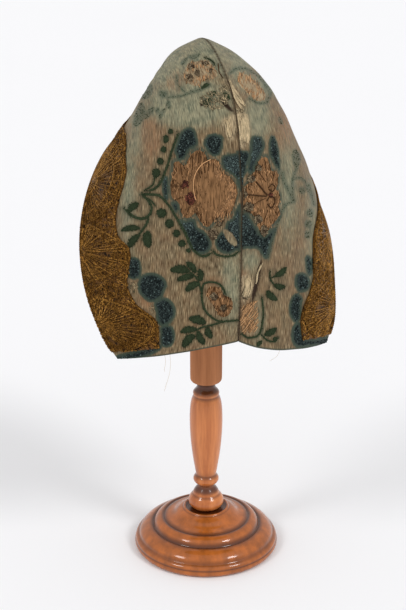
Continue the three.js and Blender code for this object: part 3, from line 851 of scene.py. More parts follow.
def double_grid(name, across, along, coarser, inner_slot, flip):
    """Outer and inner grid joined at the rims, shares across and along, and which points are inner."""
    shape = bmesh.new()
    bmesh.ops.create_grid(shape, x_segments=across, y_segments=along, size=0.5)
    outer = len(shape.verts)
    inner = bmesh.ops.create_grid(shape, x_segments=across // coarser, y_segments=along // coarser,
                                  size=0.5)["verts"]
    inside = set(inner)
    back = [face for face in shape.faces if face.verts[0] in inside]
    bmesh.ops.reverse_faces(shape, faces=back)
    for vertex in inner:
        vertex.co.z -= INNER_SINK
    for face in back:
        face.material_index = inner_slot
    bmesh.ops.bridge_loops(shape, edges=[e for e in shape.edges if e.is_boundary])
    if flip:
        bmesh.ops.reverse_faces(shape, faces=shape.faces)
    mesh = mesh_of(shape, name)
    shares = np.empty(3 * len(mesh.vertices))
    mesh.vertices.foreach_get("co", shares)
    shares = shares.reshape(-1, 3)[:, :2] + 0.5
    return mesh, shares[:, 0], shares[:, 1], np.arange(len(shares)) >= outer


def settle(mesh, half, u, q, points):
    """Moves a mesh's points to where they belong, and maps them to the cloth."""
    mesh.vertices.foreach_set("co", points.ravel())
    mesh.update()
    set_cloth(mesh, half.cloth(u, q))
    mesh.shade_smooth()


class Bundle:
    """Gathers many small shapes into one mesh."""

    def __init__(self):
        self.points, self.faces, self.cloths, self.shades, self.count = [], [], [], [], 0

    def add(self, points, faces, cloth, shade):
        """cloth is the place on the cloth in millimetres, shade a share from dark to pale."""
        points = np.asarray(points, float)
        self.points.append(points)
        self.cloths.append(np.broadcast_to(cloth, (len(points), 2)))
        self.shades.append(np.broadcast_to(shade, (len(points),)))
        for group in faces if isinstance(faces, tuple) else (faces,):
            if isinstance(group, np.ndarray):
                self.faces.extend((group + self.count).tolist())
            else:
                self.faces.extend([i + self.count for i in face] for face in group)
        self.count += len(points)

    def mesh(self, name):
        mesh = bpy.data.meshes.new(name)
        mesh.from_pydata(np.concatenate(self.points), [], self.faces)
        mesh.update()
        set_cloth(mesh, np.concatenate(self.cloths))
        set_shade(mesh, np.concatenate(self.shades))
        mesh.shade_smooth()
        return mesh


def set_cloth(mesh, cloth):
    """UV map that holds the place on the cloth, in units of 100 mm."""
    corner = np.empty(len(mesh.loops), np.int32)
    mesh.loops.foreach_get("vertex_index", corner)
    layer = mesh.uv_layers.new(name="cloth")
    layer.data.foreach_set("uv", (cloth[corner] / CLOTH_UNIT).astype(np.float32).ravel())


def set_shade(mesh, values):
    """Share of the way from dark to pale at each point."""
    layer = mesh.attributes.new("shade", "FLOAT", "POINT")
    layer.data.foreach_set("value", values.astype(np.float32))


def tubes(points, normals, radius, flat=1.0, sides=3):
    """Closed tubes along rows of points, flattened towards the cloth."""
    count, steps = points.shape[:2]
    way = unit(np.gradient(points, axis=1))
    aside = unit(np.cross(normals, way))
    up = np.cross(way, aside)
    angle = (np.arange(sides) + 0.5) * 2 * np.pi / sides
    size = np.broadcast_to(radius, (count, steps))[:, :, None, None]
    ring = points[:, :, None] + size * (np.cos(angle)[:, None] * aside[:, :, None]
                                        + flat * np.sin(angle)[:, None] * up[:, :, None])
    index = np.arange(count * steps * sides).reshape(count, steps, sides)
    here, ahead = index[:, :-1], index[:, 1:]
    quads = np.stack([here, np.roll(here, -1, 2), np.roll(ahead, -1, 2), ahead], -1).reshape(-1, 4)
    caps = np.concatenate([index[:, 0, ::-1], index[:, -1]])
    return ring.reshape(-1, 3), (quads, caps)


def lay_tubes(bundle, half, u, q, height, radius, shade, flat=1.0, sides=3):
    """Adds tubes whose middles lie at places on the cloth, at a height over it."""
    points, out = half.lift(u, q, np.broadcast_to(height, u.shape))
    ring, faces = tubes(points, out, radius, flat, sides)
    cloth = np.repeat(half.cloth(u, q).reshape(-1, 2), sides, 0)
    shade = np.repeat(np.broadcast_to(shade, u.shape).ravel(), sides)
    bundle.add(ring, faces, cloth, shade)


def lay_paths(bundle, half, path, height, radius, shade, flat=1.0, sides=3):
    """Adds tubes along rows of charted pixels."""
    u, q = (share.reshape(path.shape[:2]) for share in half.find(path.reshape(-1, 2)))
    lay_tubes(bundle, half, u, q, height, radius, shade, flat, sides)


def lay_vine(bundle, half, vine, thick, shade):
    """Adds one charted line as a flattened cord."""
    u, q = half.find(smooth_route(vine.route, VINE_SPACING))
    wide = 0.5 * vine.width * pixel_size(half)
    taper = np.clip(np.minimum(np.arange(len(u)), np.arange(len(u))[::-1]) / 2.5, 0.35, 1)
    lay_tubes(bundle, half, u[None], q[None], 0.0, (wide * taper)[None], shade, thick / wide, 6)


def pixel_size(half):
    """Metres that one pixel shows at the bonnet."""
    return float(np.linalg.norm(half.eye.place - np.array(BONNET_MIDDLE))) / half.eye.focal


def lay_shape(bundle, half, shape, pixels, height, shade):
    """Adds a small shape whose points are charted in pixels, at heights over the cloth."""
    u, q = half.find(pixels)
    points, _ = half.lift(u, q, height)
    bundle.add(points, shape[1], half.cloth(u, q), shade)


def piece(name, mesh, materials, slot, *nodes):
    """New object for a mesh, riding on the part's one body."""
    for material in materials:
        mesh.materials.append(material)
    made = bpy.data.objects.new(name, mesh)
    bpy.context.scene.collection.objects.link(made)
    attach(made, BODY)
    if nodes:
        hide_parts(*nodes)
    return made


def bundled(name, bundle, material, slot):
    """New piece for a bundle, of one material."""
    return piece(name, bundle.mesh(name), [material], slot)


# Materials
class Nodes:
    """Short way to add and link shader nodes in one tree."""

    def __init__(self, tree):
        self.tree = tree

    def add(self, kind, sockets=None, **settings):
        item = self.tree.nodes.new("ShaderNode" + kind)
        for key, value in settings.items():
            setattr(item, key, value)
        self.fill(item, sockets or {})
        return item

    def fill(self, item, sockets):
        """Links the sockets of a node, or sets them."""
        for key, value in sockets.items():
            self.feed(item.inputs[key], value)

    def feed(self, socket, value):
        if isinstance(value, bpy.types.NodeSocket):
            self.tree.links.new(value, socket)
        else:
            socket.default_value = value

    def mix(self, share, a, b, blend="MIX"):
        sockets = {0: share, 6: full(a), 7: full(b)}
        return self.add("Mix", sockets, data_type="RGBA", blend_type=blend).outputs[2]

    def math(self, operation, a, b):
        return self.add("Math", {0: a, 1: b}, operation=operation).outputs[0]

    def times(self, a, b):
        return self.math("MULTIPLY", a, b)

    def stretch(self, vector, factors):
        return self.add("VectorMath", {0: vector, 1: factors}, operation="MULTIPLY").outputs[0]

    def noise(self, vector, scale, detail, roughness):
        sockets = {"Vector": vector, "Scale": scale, "Detail": detail, "Roughness": roughness}
        return self.add("TexNoise", sockets).outputs["Fac"]

    def span(self, value, low, high):
        """Share of the way from low to high, kept from 0 to 1."""
        return self.add("MapRange", {"Value": value, "From Min": low, "From Max": high}).outputs["Result"]

    def ramp(self, value, stops):
        item = self.add("ValToRGB", {"Fac": value})
        elements = item.color_ramp.elements
        while len(elements) < len(stops):
            elements.new(0.5)
        for element, (position, tone) in zip(elements, stops):
            element.position = position
            element.color = full(tone)
        return item.outputs["Color"]

    def bump(self, height, strength, distance):
        sockets = {"Height": height, "Strength": strength, "Distance": distance}
        return self.add("Bump", sockets).outputs["Normal"]

    def attribute(self, name):
        return self.add("Attribute", attribute_name=name).outputs

    def placed(self, name, sockets):
        return self.add("Group", sockets, node_tree=bpy.data.node_groups[name]).outputs


def full(tone):
    """Four numbers of a colour, or the socket that brings it."""
    if isinstance(tone, bpy.types.NodeSocket):
        return tone
    return tuple(tone)[:3] + (1.0,)


def scaled(tone, factor):
    return tuple(min(c * factor, 1.0) for c in tuple(tone)[:3])


def new_group(name, inputs, outputs):
    tree = bpy.data.node_groups.new(name, "ShaderNodeTree")
    for words, way in ((inputs, "INPUT"), (outputs, "OUTPUT")):
        for socket, kind in words:
            tree.interface.new_socket(name=socket, in_out=way, socket_type="NodeSocket" + kind)
    source = tree.nodes.new("NodeGroupInput").outputs
    result = tree.nodes.new("NodeGroupOutput")
    return Nodes(tree), source, result


def make_groups():
    """Effects that more than one material uses."""
    if "thread streaks" in bpy.data.node_groups:
        return
    nodes, source, result = new_group(
        "thread streaks", [("Cloth", "Vector"), ("Across", "Float"), ("Along", "Float")],
        [("Fine", "Float"), ("Broad", "Float"), ("Weave", "Float")])
    size = nodes.add("CombineXYZ", {"X": source["Across"], "Y": source["Along"], "Z": 1.0}).outputs[0]
    fine = nodes.noise(nodes.stretch(source["Cloth"], size), 1.0, 2.0, 0.5)
    broad_size = nodes.stretch(size, (0.22, 0.3, 1))
    broad = nodes.noise(nodes.stretch(source["Cloth"], broad_size), 1.0, 3.0, 0.6)
    sockets = {"Vector": source["Cloth"], "Scale": 38.0, "Distortion": 1.5, "Detail": 1.0,
               "Detail Scale": 6.0}
    weft = nodes.add("TexWave", sockets, wave_type="BANDS", bands_direction="Y").outputs["Fac"]
    weave = nodes.math("ADD", nodes.times(weft, 0.35), fine)
    nodes.fill(result, {"Fine": fine, "Broad": broad, "Weave": weave})

    nodes, source, result = new_group("grime", [("Vector", "Vector"), ("Scale", "Float")],
                                      [("Mask", "Float")])
    large = nodes.noise(source["Vector"], source["Scale"], 4.0, 0.6)
    nodes.fill(result, {"Mask": nodes.span(large, 0.42, 0.68)})

    nodes, source, result = new_group("wood grain", [("Vector", "Vector")],
                                      [("Grain", "Float"), ("Pores", "Float")])
    rings = nodes.noise(nodes.stretch(source["Vector"], (110, 110, 7)), 1.0, 4.0, 0.62)
    pores = nodes.noise(nodes.stretch(source["Vector"], (900, 900, 45)), 1.0, 2.0, 0.5)
    nodes.fill(result, {"Grain": rings, "Pores": pores})


def new_material(name):
    """Material with its Principled shader, and a way to add nodes."""
    make_groups()
    material = bpy.data.materials.new(name)
    material.use_nodes = True
    return material, Nodes(material.node_tree), material.node_tree.nodes["Principled BSDF"]


def cloth_vector(nodes):
    return nodes.add("UVMap", uv_map="cloth").outputs[0]


def object_vector(nodes):
    return nodes.add("TexCoord").outputs["Object"]


def streaks(nodes, across, along):
    return nodes.placed("thread streaks", {"Cloth": cloth_vector(nodes), "Across": across, "Along": along})


def grimed(nodes, vector, scale):
    return nodes.placed("grime", {"Vector": vector, "Scale": scale})["Mask"]


def silk_material(look):
    """Striped ground, with the masks that the chart gives for pile, worn places, slits, the painted shade
    of the seam and tints.
    """
    material, nodes, shader = new_material("figured_silk")
    lines = streaks(nodes, 135.0, 16.0)
    fine = lines["Fine"]
    cloth = cloth_vector(nodes)
    woven, tint = nodes.attribute("woven"), nodes.attribute("tint")
    core, rim, bare = nodes.add("SeparateColor", {0: woven["Color"]}).outputs
    greened, pinked, haloed = nodes.add("SeparateColor", {0: tint["Color"]}).outputs
    tone = nodes.ramp(fine, [(0.33, look.ground_dark), (0.45, scaled(look.ground, 0.86)),
                             (0.56, scaled(look.ground, 1.12)), (0.68, look.ground_pale)])
    broad = nodes.ramp(lines["Broad"], [(0.34, (0.6, 0.58, 0.56)), (0.5, (1, 1, 1)),
                                        (0.66, (1.0, 0.95, 0.88))])
    tone = nodes.mix(0.8, tone, broad, "MULTIPLY")
    tone = nodes.mix(nodes.times(grimed(nodes, cloth, 7.0), 0.25), tone, look.pink)
    green = nodes.ramp(fine, [(0.32, scaled(look.green, 0.62)), (0.5, look.green),
                              (0.68, scaled(look.green, 1.32))])
    green = nodes.mix(0.7, green, broad, "MULTIPLY")
    tone = nodes.mix(nodes.times(greened, 0.85), tone, green)
    mottle = nodes.times(nodes.times(grimed(nodes, cloth, 13.0), greened), nodes.span(fine, 0.75, 0.3))
    tone = nodes.mix(mottle, tone, look.faded)
    pink = nodes.mix(fine, scaled(look.pink, 0.55), scaled(look.pink, 1.45))
    tone = nodes.mix(nodes.times(pinked, nodes.span(lines["Broad"], 0.3, 0.7)), tone, pink)
    tone = nodes.mix(nodes.times(haloed, 0.55), tone, scaled(look.leaf, 0.8))
    tone = nodes.mix(nodes.times(tint["Alpha"], nodes.span(fine, 0.2, 0.7)), tone, look.faded)
    straw = nodes.ramp(fine, [(0.32, scaled(look.straw, 0.28)), (0.48, scaled(look.straw, 0.52)),
                              (0.66, look.straw)])
    tone = nodes.mix(bare, tone, straw)
    tone = nodes.mix(rim, tone, nodes.mix(fine, scaled(look.rim, 0.5), scaled(look.rim, 1.5)))
    tufts = nodes.ramp(nodes.noise(cloth, 95.0, 2.0, 0.6), [
        (0.36, scaled(look.pile, 0.3)), (0.52, look.pile), (0.66, scaled(look.pile, 2.4))])
    tone = nodes.mix(core, tone, tufts)
    nodes.fill(shader, {
        "Base Color": nodes.mix(woven["Alpha"], tone, look.hole), "Roughness": nodes.span(fine, -0.6, 1.3),
        "Normal": nodes.bump(lines["Weave"], 0.6, 0.0006), "Sheen Weight": 0.05, "Specular IOR Level": 0.1})
    return material


def reverse_material(look):
    material, nodes, shader = new_material("cloth_reverse")
    lines = streaks(nodes, 120.0, 14.0)
    stain = grimed(nodes, cloth_vector(nodes), 3.0)
    tone = nodes.mix(lines["Fine"], scaled(look.reverse, 0.7), scaled(look.reverse, 1.2))
    tone = nodes.mix(nodes.times(stain, 0.5), tone, scaled(look.reverse, 0.6))
    nodes.fill(shader, {"Base Color": tone, "Normal": nodes.bump(lines["Weave"], 0.4, 0.0005),
                        "Roughness": 0.85})
    return material


def thread_material(name, look):
    """Threads whose shade goes from dark to pale, with streaks along the cloth."""
    row = THREADS[name]
    dark = scaled(getattr(look, row.dark), row.dark_share)
    pale = scaled(getattr(look, row.pale), row.pale_share)
    material, nodes, shader = new_material(name)
    lines = streaks(nodes, row.across, row.along)
    amount = nodes.math("ADD", nodes.times(nodes.attribute("shade")["Fac"], 1 - row.grain),
                        nodes.times(nodes.span(lines["Fine"], 0.34, 0.66), row.grain))
    nodes.fill(shader, {
        "Base Color": nodes.mix(amount, dark, pale), "Normal": nodes.bump(lines["Weave"], 0.5, 0.0005),
        "Roughness": nodes.span(lines["Broad"], -0.9, 0.9), "Metallic": row.metal,
        "Specular IOR Level": row.shine})
    return material


def lace_material(name, dark, pale, gap, metal, open_share):
    """Tarnished metal thread, with painted shade of gaps over a share of it, and painted shade in the
    hollows of its twist.
    """
    material, nodes, shader = new_material(name)
    place = object_vector(nodes)
    grime = grimed(nodes, place, 60.0)
    twist = nodes.noise(place, 900.0, 1.0, 0.5)
    bright = nodes.math("SUBTRACT", 1.1, nodes.times(grime, 0.5))
    tone = nodes.mix(nodes.times(nodes.attribute("shade")["Fac"], bright), dark, pale)
    # Darker where the twist sinks in the bump: painted shade in the thread's hollows
    tone = nodes.mix(nodes.span(twist, 0.6, 0.36), tone, scaled(dark, 0.7))
    # Dark spots of the gap colour: painted shade of the gaps, more of them on the open net
    gap_shade_spots = nodes.noise(place, 430.0, 2.0, 0.6)
    tone = nodes.mix(nodes.span(gap_shade_spots, 0.62 - 0.3 * open_share, 0.7 - 0.3 * open_share), tone, gap)
    nodes.fill(shader, {
        "Base Color": tone, "Roughness": nodes.span(grime, -0.8, 1.4), "Metallic": metal,
        "Normal": nodes.bump(twist, 0.6, 0.0003), "Specular IOR Level": 0.1})
    return material


def wood_material(name, tone, dark, groove, finish):
    material, nodes, shader = new_material(name)
    grain = nodes.placed("wood grain", {"Vector": object_vector(nodes)})
    wood = nodes.mix(nodes.span(grain["Grain"], 0.34, 0.66), dark, tone)
    wood = nodes.mix(nodes.times(nodes.span(grain["Pores"], 0.6, 0.8), 0.3), wood, scaled(dark, 0.6))
    # The base colour mixes in painted shade wherever the profile marks a groove or a join
    nodes.fill(shader, {
        "Base Color": nodes.mix(nodes.attribute("groove")["Fac"], wood, groove),
        "Roughness": nodes.span(grain["Grain"], finish.smooth, finish.rough),
        "Normal": nodes.bump(grain["Pores"], finish.pores, 0.0004), "Specular IOR Level": 0.2,
        "Coat Weight": finish.coat, "Coat Roughness": 0.06})
    return material


# Operators, one for each group of pieces
def turned(name, profile, steps, material, slot, node):
    """Spins a profile round the stand's axis, carrying each point's share of painted shade."""
    shape = bmesh.new()
    mark = shape.verts.layers.float.new("groove")
    row = []
    for turn in profile:
        vertex = shape.verts.new((turn.r * MM, 0, turn.z * MM))
        vertex[mark] = turn.groove
        row.append(vertex)
    spin(shape, row, steps, 1e-6)
    bmesh.ops.recalc_face_normals(shape, faces=shape.faces)
    mesh = mesh_of(shape, name)
    mesh.shade_smooth()
    made = piece(name, mesh, [material], slot, node)
    rounding = made.modifiers.new("rounding", "SUBSURF")
    rounding.levels = rounding.render_levels = 1


class BONNET_OT_stand(bpy.types.Operator):
    """Turns the varnished base and stem and the matt column"""
    bl_idname = "bonnet.stand"
    bl_label = "Make the stand"

    def execute(self, context):
        look = context.scene.bonnet_stand
        varnish = wood_material("varnished_wood", look.varnish, look.varnish_dark, look.groove, VARNISH)
        # The base gets the darker copy of the varnish: painted shade
        foot = wood_material("varnished_foot", look.foot, scaled(look.foot, 0.6), look.groove, VARNISH)
        matt = wood_material("matt_wood", look.pale, look.pale_dark, scaled(look.pale_dark, 0.5), MATT)
        turned("turned_base", BASE_PROFILE, look.steps, foot, "varnished_wood", "stand_base")
        turned("turned_stem", STEM_PROFILE, look.steps, varnish, "varnished_wood", "stand_stem")
        turned("round_column", COLUMN_PROFILE, look.steps, matt, "pale_wood", "stand_column")
        return {"FINISHED"}


class BONNET_OT_silk(bpy.types.Operator):
    """Lays the two halves of figured silk, with their worn places and blue ground"""
    bl_idname = "bonnet.silk"
    bl_label = "Make the silk halves"

    def execute(self, context):
        look = context.scene.bonnet_silk
        silk, reverse = silk_material(look), reverse_material(look)
        for half in halves(context):
            name = "silk_" + half.name
            mesh, u, q, behind = double_grid(name, look.across, look.along, INNER_COARSER, 1, half.side < 0)
            pixels = half.pixels(u, q)
            # What the photograph doesn't show has no chart: the far side of the crown
            chart = np.where(half.seen(u, q) & ~behind, 1.0, 0.0)
            wedge = cover(WEDGES[half.name], pixels, WEDGE_MASK)
            core = cover(PILE[half.name], pixels, CORE_MASK) * (1 - wedge)
            rim = cover(PILE[half.name], pixels, RIM_MASK) * (1 - wedge)
            rim = np.maximum(rim, 0.8 * cover([FLOWERS[half.name][0].outline], pixels, FLOWER_MASK))
            bare = np.maximum(cover(STRAW[half.name], pixels, STRAW_MASK), 0.2 * wedge) * (1 - rim)
            hole = cover(SLITS[half.name], pixels, SLIT_MASK)
            s, t = half.cloth(u, q).T
            # Along the seam the cloth is darkened to the hole colour: painted shade in the seam's crease
            seam = np.exp(-np.abs(s) / SEAM_FADE)
            dark = np.maximum(hole, 0.85 * seam) * np.maximum(chart, 0.75 * seam)
            rim = np.maximum(rim * chart, 0.85 * soft(t - HEM_CORD, HEM_CORD_EDGE))
            crown = np.clip((q - CROWN_START) / CROWN_FADE, 0, 1)
            green = np.maximum(cover(GREEN[half.name], pixels, GREEN_MASK) * chart, crown * 0.8)
            pink = 0.75 * cover(PINK[half.name], pixels, PINK_MASK) * chart
            halo = cover(sprig_shapes(half, False), pixels, HALO_MASK) * chart
            faded = cover(sprig_shapes(half, True), pixels, FADED_MASK) * chart
            height = (-SEAM_DEPTH * MM * seam - HOLE_DEPTH * MM * hole * chart
                      - BARE_DEPTH * MM * bare * chart + RIM_RISE * MM * rim)
            points, _ = half.lift(u, q, np.where(behind, 0, height))
            # The inner face is set in by the cloth's thickness, and mitred at the seam
            inward = half.normal(u, q)
            at_seam = u < 1e-6
            inward[at_seam, 0] = 0
            inward[at_seam] /= (inward[at_seam] ** 2).sum(-1, keepdims=True)
            points = np.where(behind[:, None], half.point(u, q) - inward * CLOTH * MM, points)
            settle(mesh, half, u, q, points)
            for label, masks in (("woven", (core * chart, rim, 0.9 * bare * chart, dark)),
                                 ("tint", (green, pink, halo, faded))):
                layer = mesh.attributes.new(label, "FLOAT_COLOR", "POINT")
                layer.data.foreach_set("color", np.stack(masks, -1).astype(np.float32).ravel())
            made = piece(name, mesh, [silk, reverse], "silk", "panel_" + half.name)
            strip_area(half.rib_lengths, half.seam_runs)
        return {"FINISHED"}


def leaf_place(leaf, share, side):
    """Pixels at shares along a leaf and shares of its half width to a side."""
    base, tip = np.array([leaf.x, leaf.y]), np.array([leaf.tip_x, leaf.tip_y])
    way = (tip - base) / np.linalg.norm(tip - base)
    wide = 0.5 * leaf.width * side * (LEAF_FULL - 0.5 * (share - LEAF_WIDEST) ** 2)
    sway = LEAF_SWAY * np.linalg.norm(tip - base) * np.sin(np.pi * share)
    return base + (tip - base) * share[:, None] + np.outer(wide + sway, [-way[1], way[0]])


def leaf_outline(leaf):
    turn = np.linspace(0, 2 * np.pi, 13)[:-1]
    return leaf_place(leaf, 0.5 * (np.cos(turn) + 1), np.sin(turn))


def sprigs_of(half, worn):
    """Dots, leaves and vines of a half that are worn flat, or those that aren't."""
    def chosen(x, y):
        return worn == any(np.hypot((x - s.x) / s.across, (y - s.y) / s.down) < 1 for s in WORN[half.name])
    return ([dot for dot in DOTS[half.name] if chosen(dot.x, dot.y)],
            [leaf for leaf in LEAVES[half.name] if chosen(leaf.x, leaf.y)],
            [vine for vine in VINES[half.name] if chosen(*np.mean(vine.route, 0))])


def sprig_shapes(half, worn):
    """Spots and outlines that cover the sprigs."""
    dots, leaves, vines = sprigs_of(half, worn)
    beads = [Spot(x, y, 0.7 * vine.width, 0.7 * vine.width)
             for vine in vines for x, y in smooth_route(vine.route, 1.5)]
    return dots + [leaf_outline(leaf) for leaf in leaves] + beads


def sprig_tufts(half, worn, crowd, rng):
    """Places for tufts on the sprigs."""
    dots, leaves, vines = sprigs_of(half, worn)
    tufts = [np.empty((0, 2))]
    for dot in dots:
        tufts.append(scattered(rng, dot, int(3.6 * crowd * dot.across * dot.down))[0])
    for leaf in leaves:
        count = int(0.9 * crowd * leaf.width * np.hypot(leaf.tip_x - leaf.x, leaf.tip_y - leaf.y))
        along = rng.uniform(-1, 1, count)
        side = rng.uniform(-1.05, 1.05, count) * np.sqrt(1 - along ** 2)
        tufts.append(leaf_place(leaf, 0.5 * (along + 1), side))
    for vine in vines:
        line = smooth_route(vine.route, 0.7 / crowd)
        tufts.append(line + rng.normal(0, 0.3 * vine.width, line.shape))
    return np.concatenate(tufts)


def plant(bundle, half, rng, places, size, shade):
    """Adds one small tuft at each charted place, turned at random."""
    points, faces = pattern(bead_pattern)
    count = len(points)
    x, y, z = (points[None, :, k:k + 1] for k in range(3))
    u, q = half.find(places)
    middle, out = half.lift(u, q, np.full(len(u), TUFT_LIFT * MM))
    aside = unit(np.cross(out, rng.normal(size=out.shape)))
    ahead = np.cross(out, aside)
    points = middle[:, None] + size[:, None, None] * (
        x * aside[:, None] * TUFT_LONG + y * ahead[:, None] * TUFT_SHORT + z * out[:, None] * TUFT_HIGH)
    index = (np.array(faces)[None] + count * np.arange(len(u))[:, None, None]).reshape(-1, 3)
    bundle.add(points.reshape(-1, 3), index, np.repeat(half.cloth(u, q), count, 0), np.repeat(shade, count))


class BONNET_OT_sprigs(bpy.types.Operator):
    """Embroiders the dark green leaves, dots and vines"""
    bl_idname = "bonnet.sprigs"
    bl_label = "Embroider the sprigs"

    def execute(self, context):
        material = thread_material("green_pile", context.scene.bonnet_silk)
        pebble, blade = pattern(pebble_pattern), pattern(leaf_pattern)
        rng = np.random.default_rng(SEEDS["sprigs"])
        for half in halves(context):
            bundle = Bundle()
            dots, leaves, vines = sprigs_of(half, False)
            for dot in dots:
                shape = pebble[0]
                pixels = (dot.x, dot.y) + 0.9 * shape[:, :2] * (dot.across, dot.down)
                height = shape[:, 2] * SPRIG_SWELL * MM
                lay_shape(bundle, half, pebble, pixels, height, rng.uniform(0.1, 0.4))
            for leaf in leaves:
                shape = blade[0]
                pixels = leaf_place(leaf, 0.5 * (shape[:, 2] + 1), 0.88 * shape[:, 0])
                height = shape[:, 1] * SPRIG_SWELL * MM
                lay_shape(bundle, half, blade, pixels, height, rng.uniform(0.1, 0.4))
            for vine in vines:
                lay_vine(bundle, half, vine, VINE_SWELL * MM, rng.uniform(0.4, 0.7))
            where = sprig_tufts(half, False, 1.0, rng)
            size = rng.uniform(0.28, 0.5, len(where)) * MM
            plant(bundle, half, rng, where, size, rng.gamma(1.5, 0.2, len(where)).clip(0, 1))
            where = sprig_tufts(half, True, 0.5, rng)
            size = rng.uniform(0.2, 0.34, len(where)) * MM
            plant(bundle, half, rng, where, size, rng.uniform(0.2, 0.9, len(where)))
            bundled("sprigs_" + half.name, bundle, material, "silk")
        return {"FINISHED"}


class BONNET_OT_pile(bpy.types.Operator):
    """Plants the cut tufts of the dark blue pile"""
    bl_idname = "bonnet.pile"
    bl_label = "Plant the blue pile"

    def execute(self, context):
        material = thread_material("blue_pile", context.scene.bonnet_silk)
        rng = np.random.default_rng(SEEDS["pile"])
        for half in halves(context):
            bundle = Bundle()
            free = [patch.outline for patch in FLOWERS[half.name]] + WEDGES[half.name]
            for outline in PILE[half.name]:
                low, high = np.min(outline, 0), np.max(outline, 0)
                x, y = np.meshgrid(*(np.arange(low[k], high[k], PILE_SPACING) for k in (0, 1)))
                place = np.stack([x.ravel(), y.ravel()], -1)
                place = place + rng.uniform(-0.5, 0.5, place.shape) * PILE_SPACING
                away = outline_distance(outline, place)
                edge = np.clip(0.14 * np.min(high - low), 1.6, 3.0)
                clear = (away < -edge) & (rng.uniform(size=len(place)) < PILE_SHARE)
                clear &= cover(free, place, FREE_MASK) < 0.5
                place, away = place[clear], away[clear]
                if not len(place):
                    continue
                clump = np.clip(0.55 + ragged(0.7 * place, 0.6), 0.05, 1.3)
                # A few tufts are pale: pale threads, and also painted highlights on their tips
                shade = clump * rng.gamma(1.2, 0.27, len(place)) + 0.1 * np.clip(3.5 + away, 0, 1)
                worn = cover(PALE_PILE[half.name], place, PALE_PILE_MASK)
                shade = np.clip(np.clip(shade, 0, 1) + 0.28 * worn, 0, 1)
                plant(bundle, half, rng, place, rng.uniform(0.4, 0.78, len(place)) * MM, shade)
            bundled("pile_" + half.name, bundle, material, "silk")
        return {"FINISHED"}


def scattered(rng, spot, count):
    """Random places in a spot, with a bearing for each."""
    away, turn = np.sqrt(rng.uniform(0, 1, count)), rng.uniform(0, 2 * np.pi, count)
    return np.stack([spot.x + spot.across * away * np.cos(turn),
                     spot.y + spot.down * away * np.sin(turn)], -1), turn


def column(values):
    """One value to a row, for rows of points."""
    return np.reshape(values, (-1, 1))


def lay_bits(bundle, half, where, length, lean, height, radius, shade, flat=1.0, sides=3, bow=0.0):
    """Adds short threads at charted places, leaning from upright, arched over the cloth."""
    steps = np.linspace(-0.5, 0.5, BIT_STEPS)
    arch = np.cos(np.pi * steps)[None]
    way = np.stack([np.sin(lean), np.cos(lean)], -1)
    path = where[:, None] + (steps[None] * column(length))[..., None] * way[:, None]
    path[..., 0] += column(bow) * arch
    height = column(height) * (0.4 + 0.6 * arch)
    lay_paths(bundle, half, path, height, column(radius), column(shade), flat, sides)


def lay_knots(bundle, half, rng, spots, crowd, radius):
    """Adds small curled threads that crowd into spots."""
    for spot in spots:
        where, turn = scattered(rng, spot, int(crowd * spot.across * spot.down))
        bend = np.linspace(0, 1.6 * np.pi, 6)[None] + turn[:, None]
        size = rng.uniform(0.5, 1.1, len(where))[:, None, None]
        path = where[:, None] + size * np.stack([np.cos(bend), np.sin(bend)], -1)
        shade = rng.uniform(0, 1, len(where))[:, None] ** 4
        lay_paths(bundle, half, path, KNOT_LIFT * MM, radius, shade, 1.0, 4)


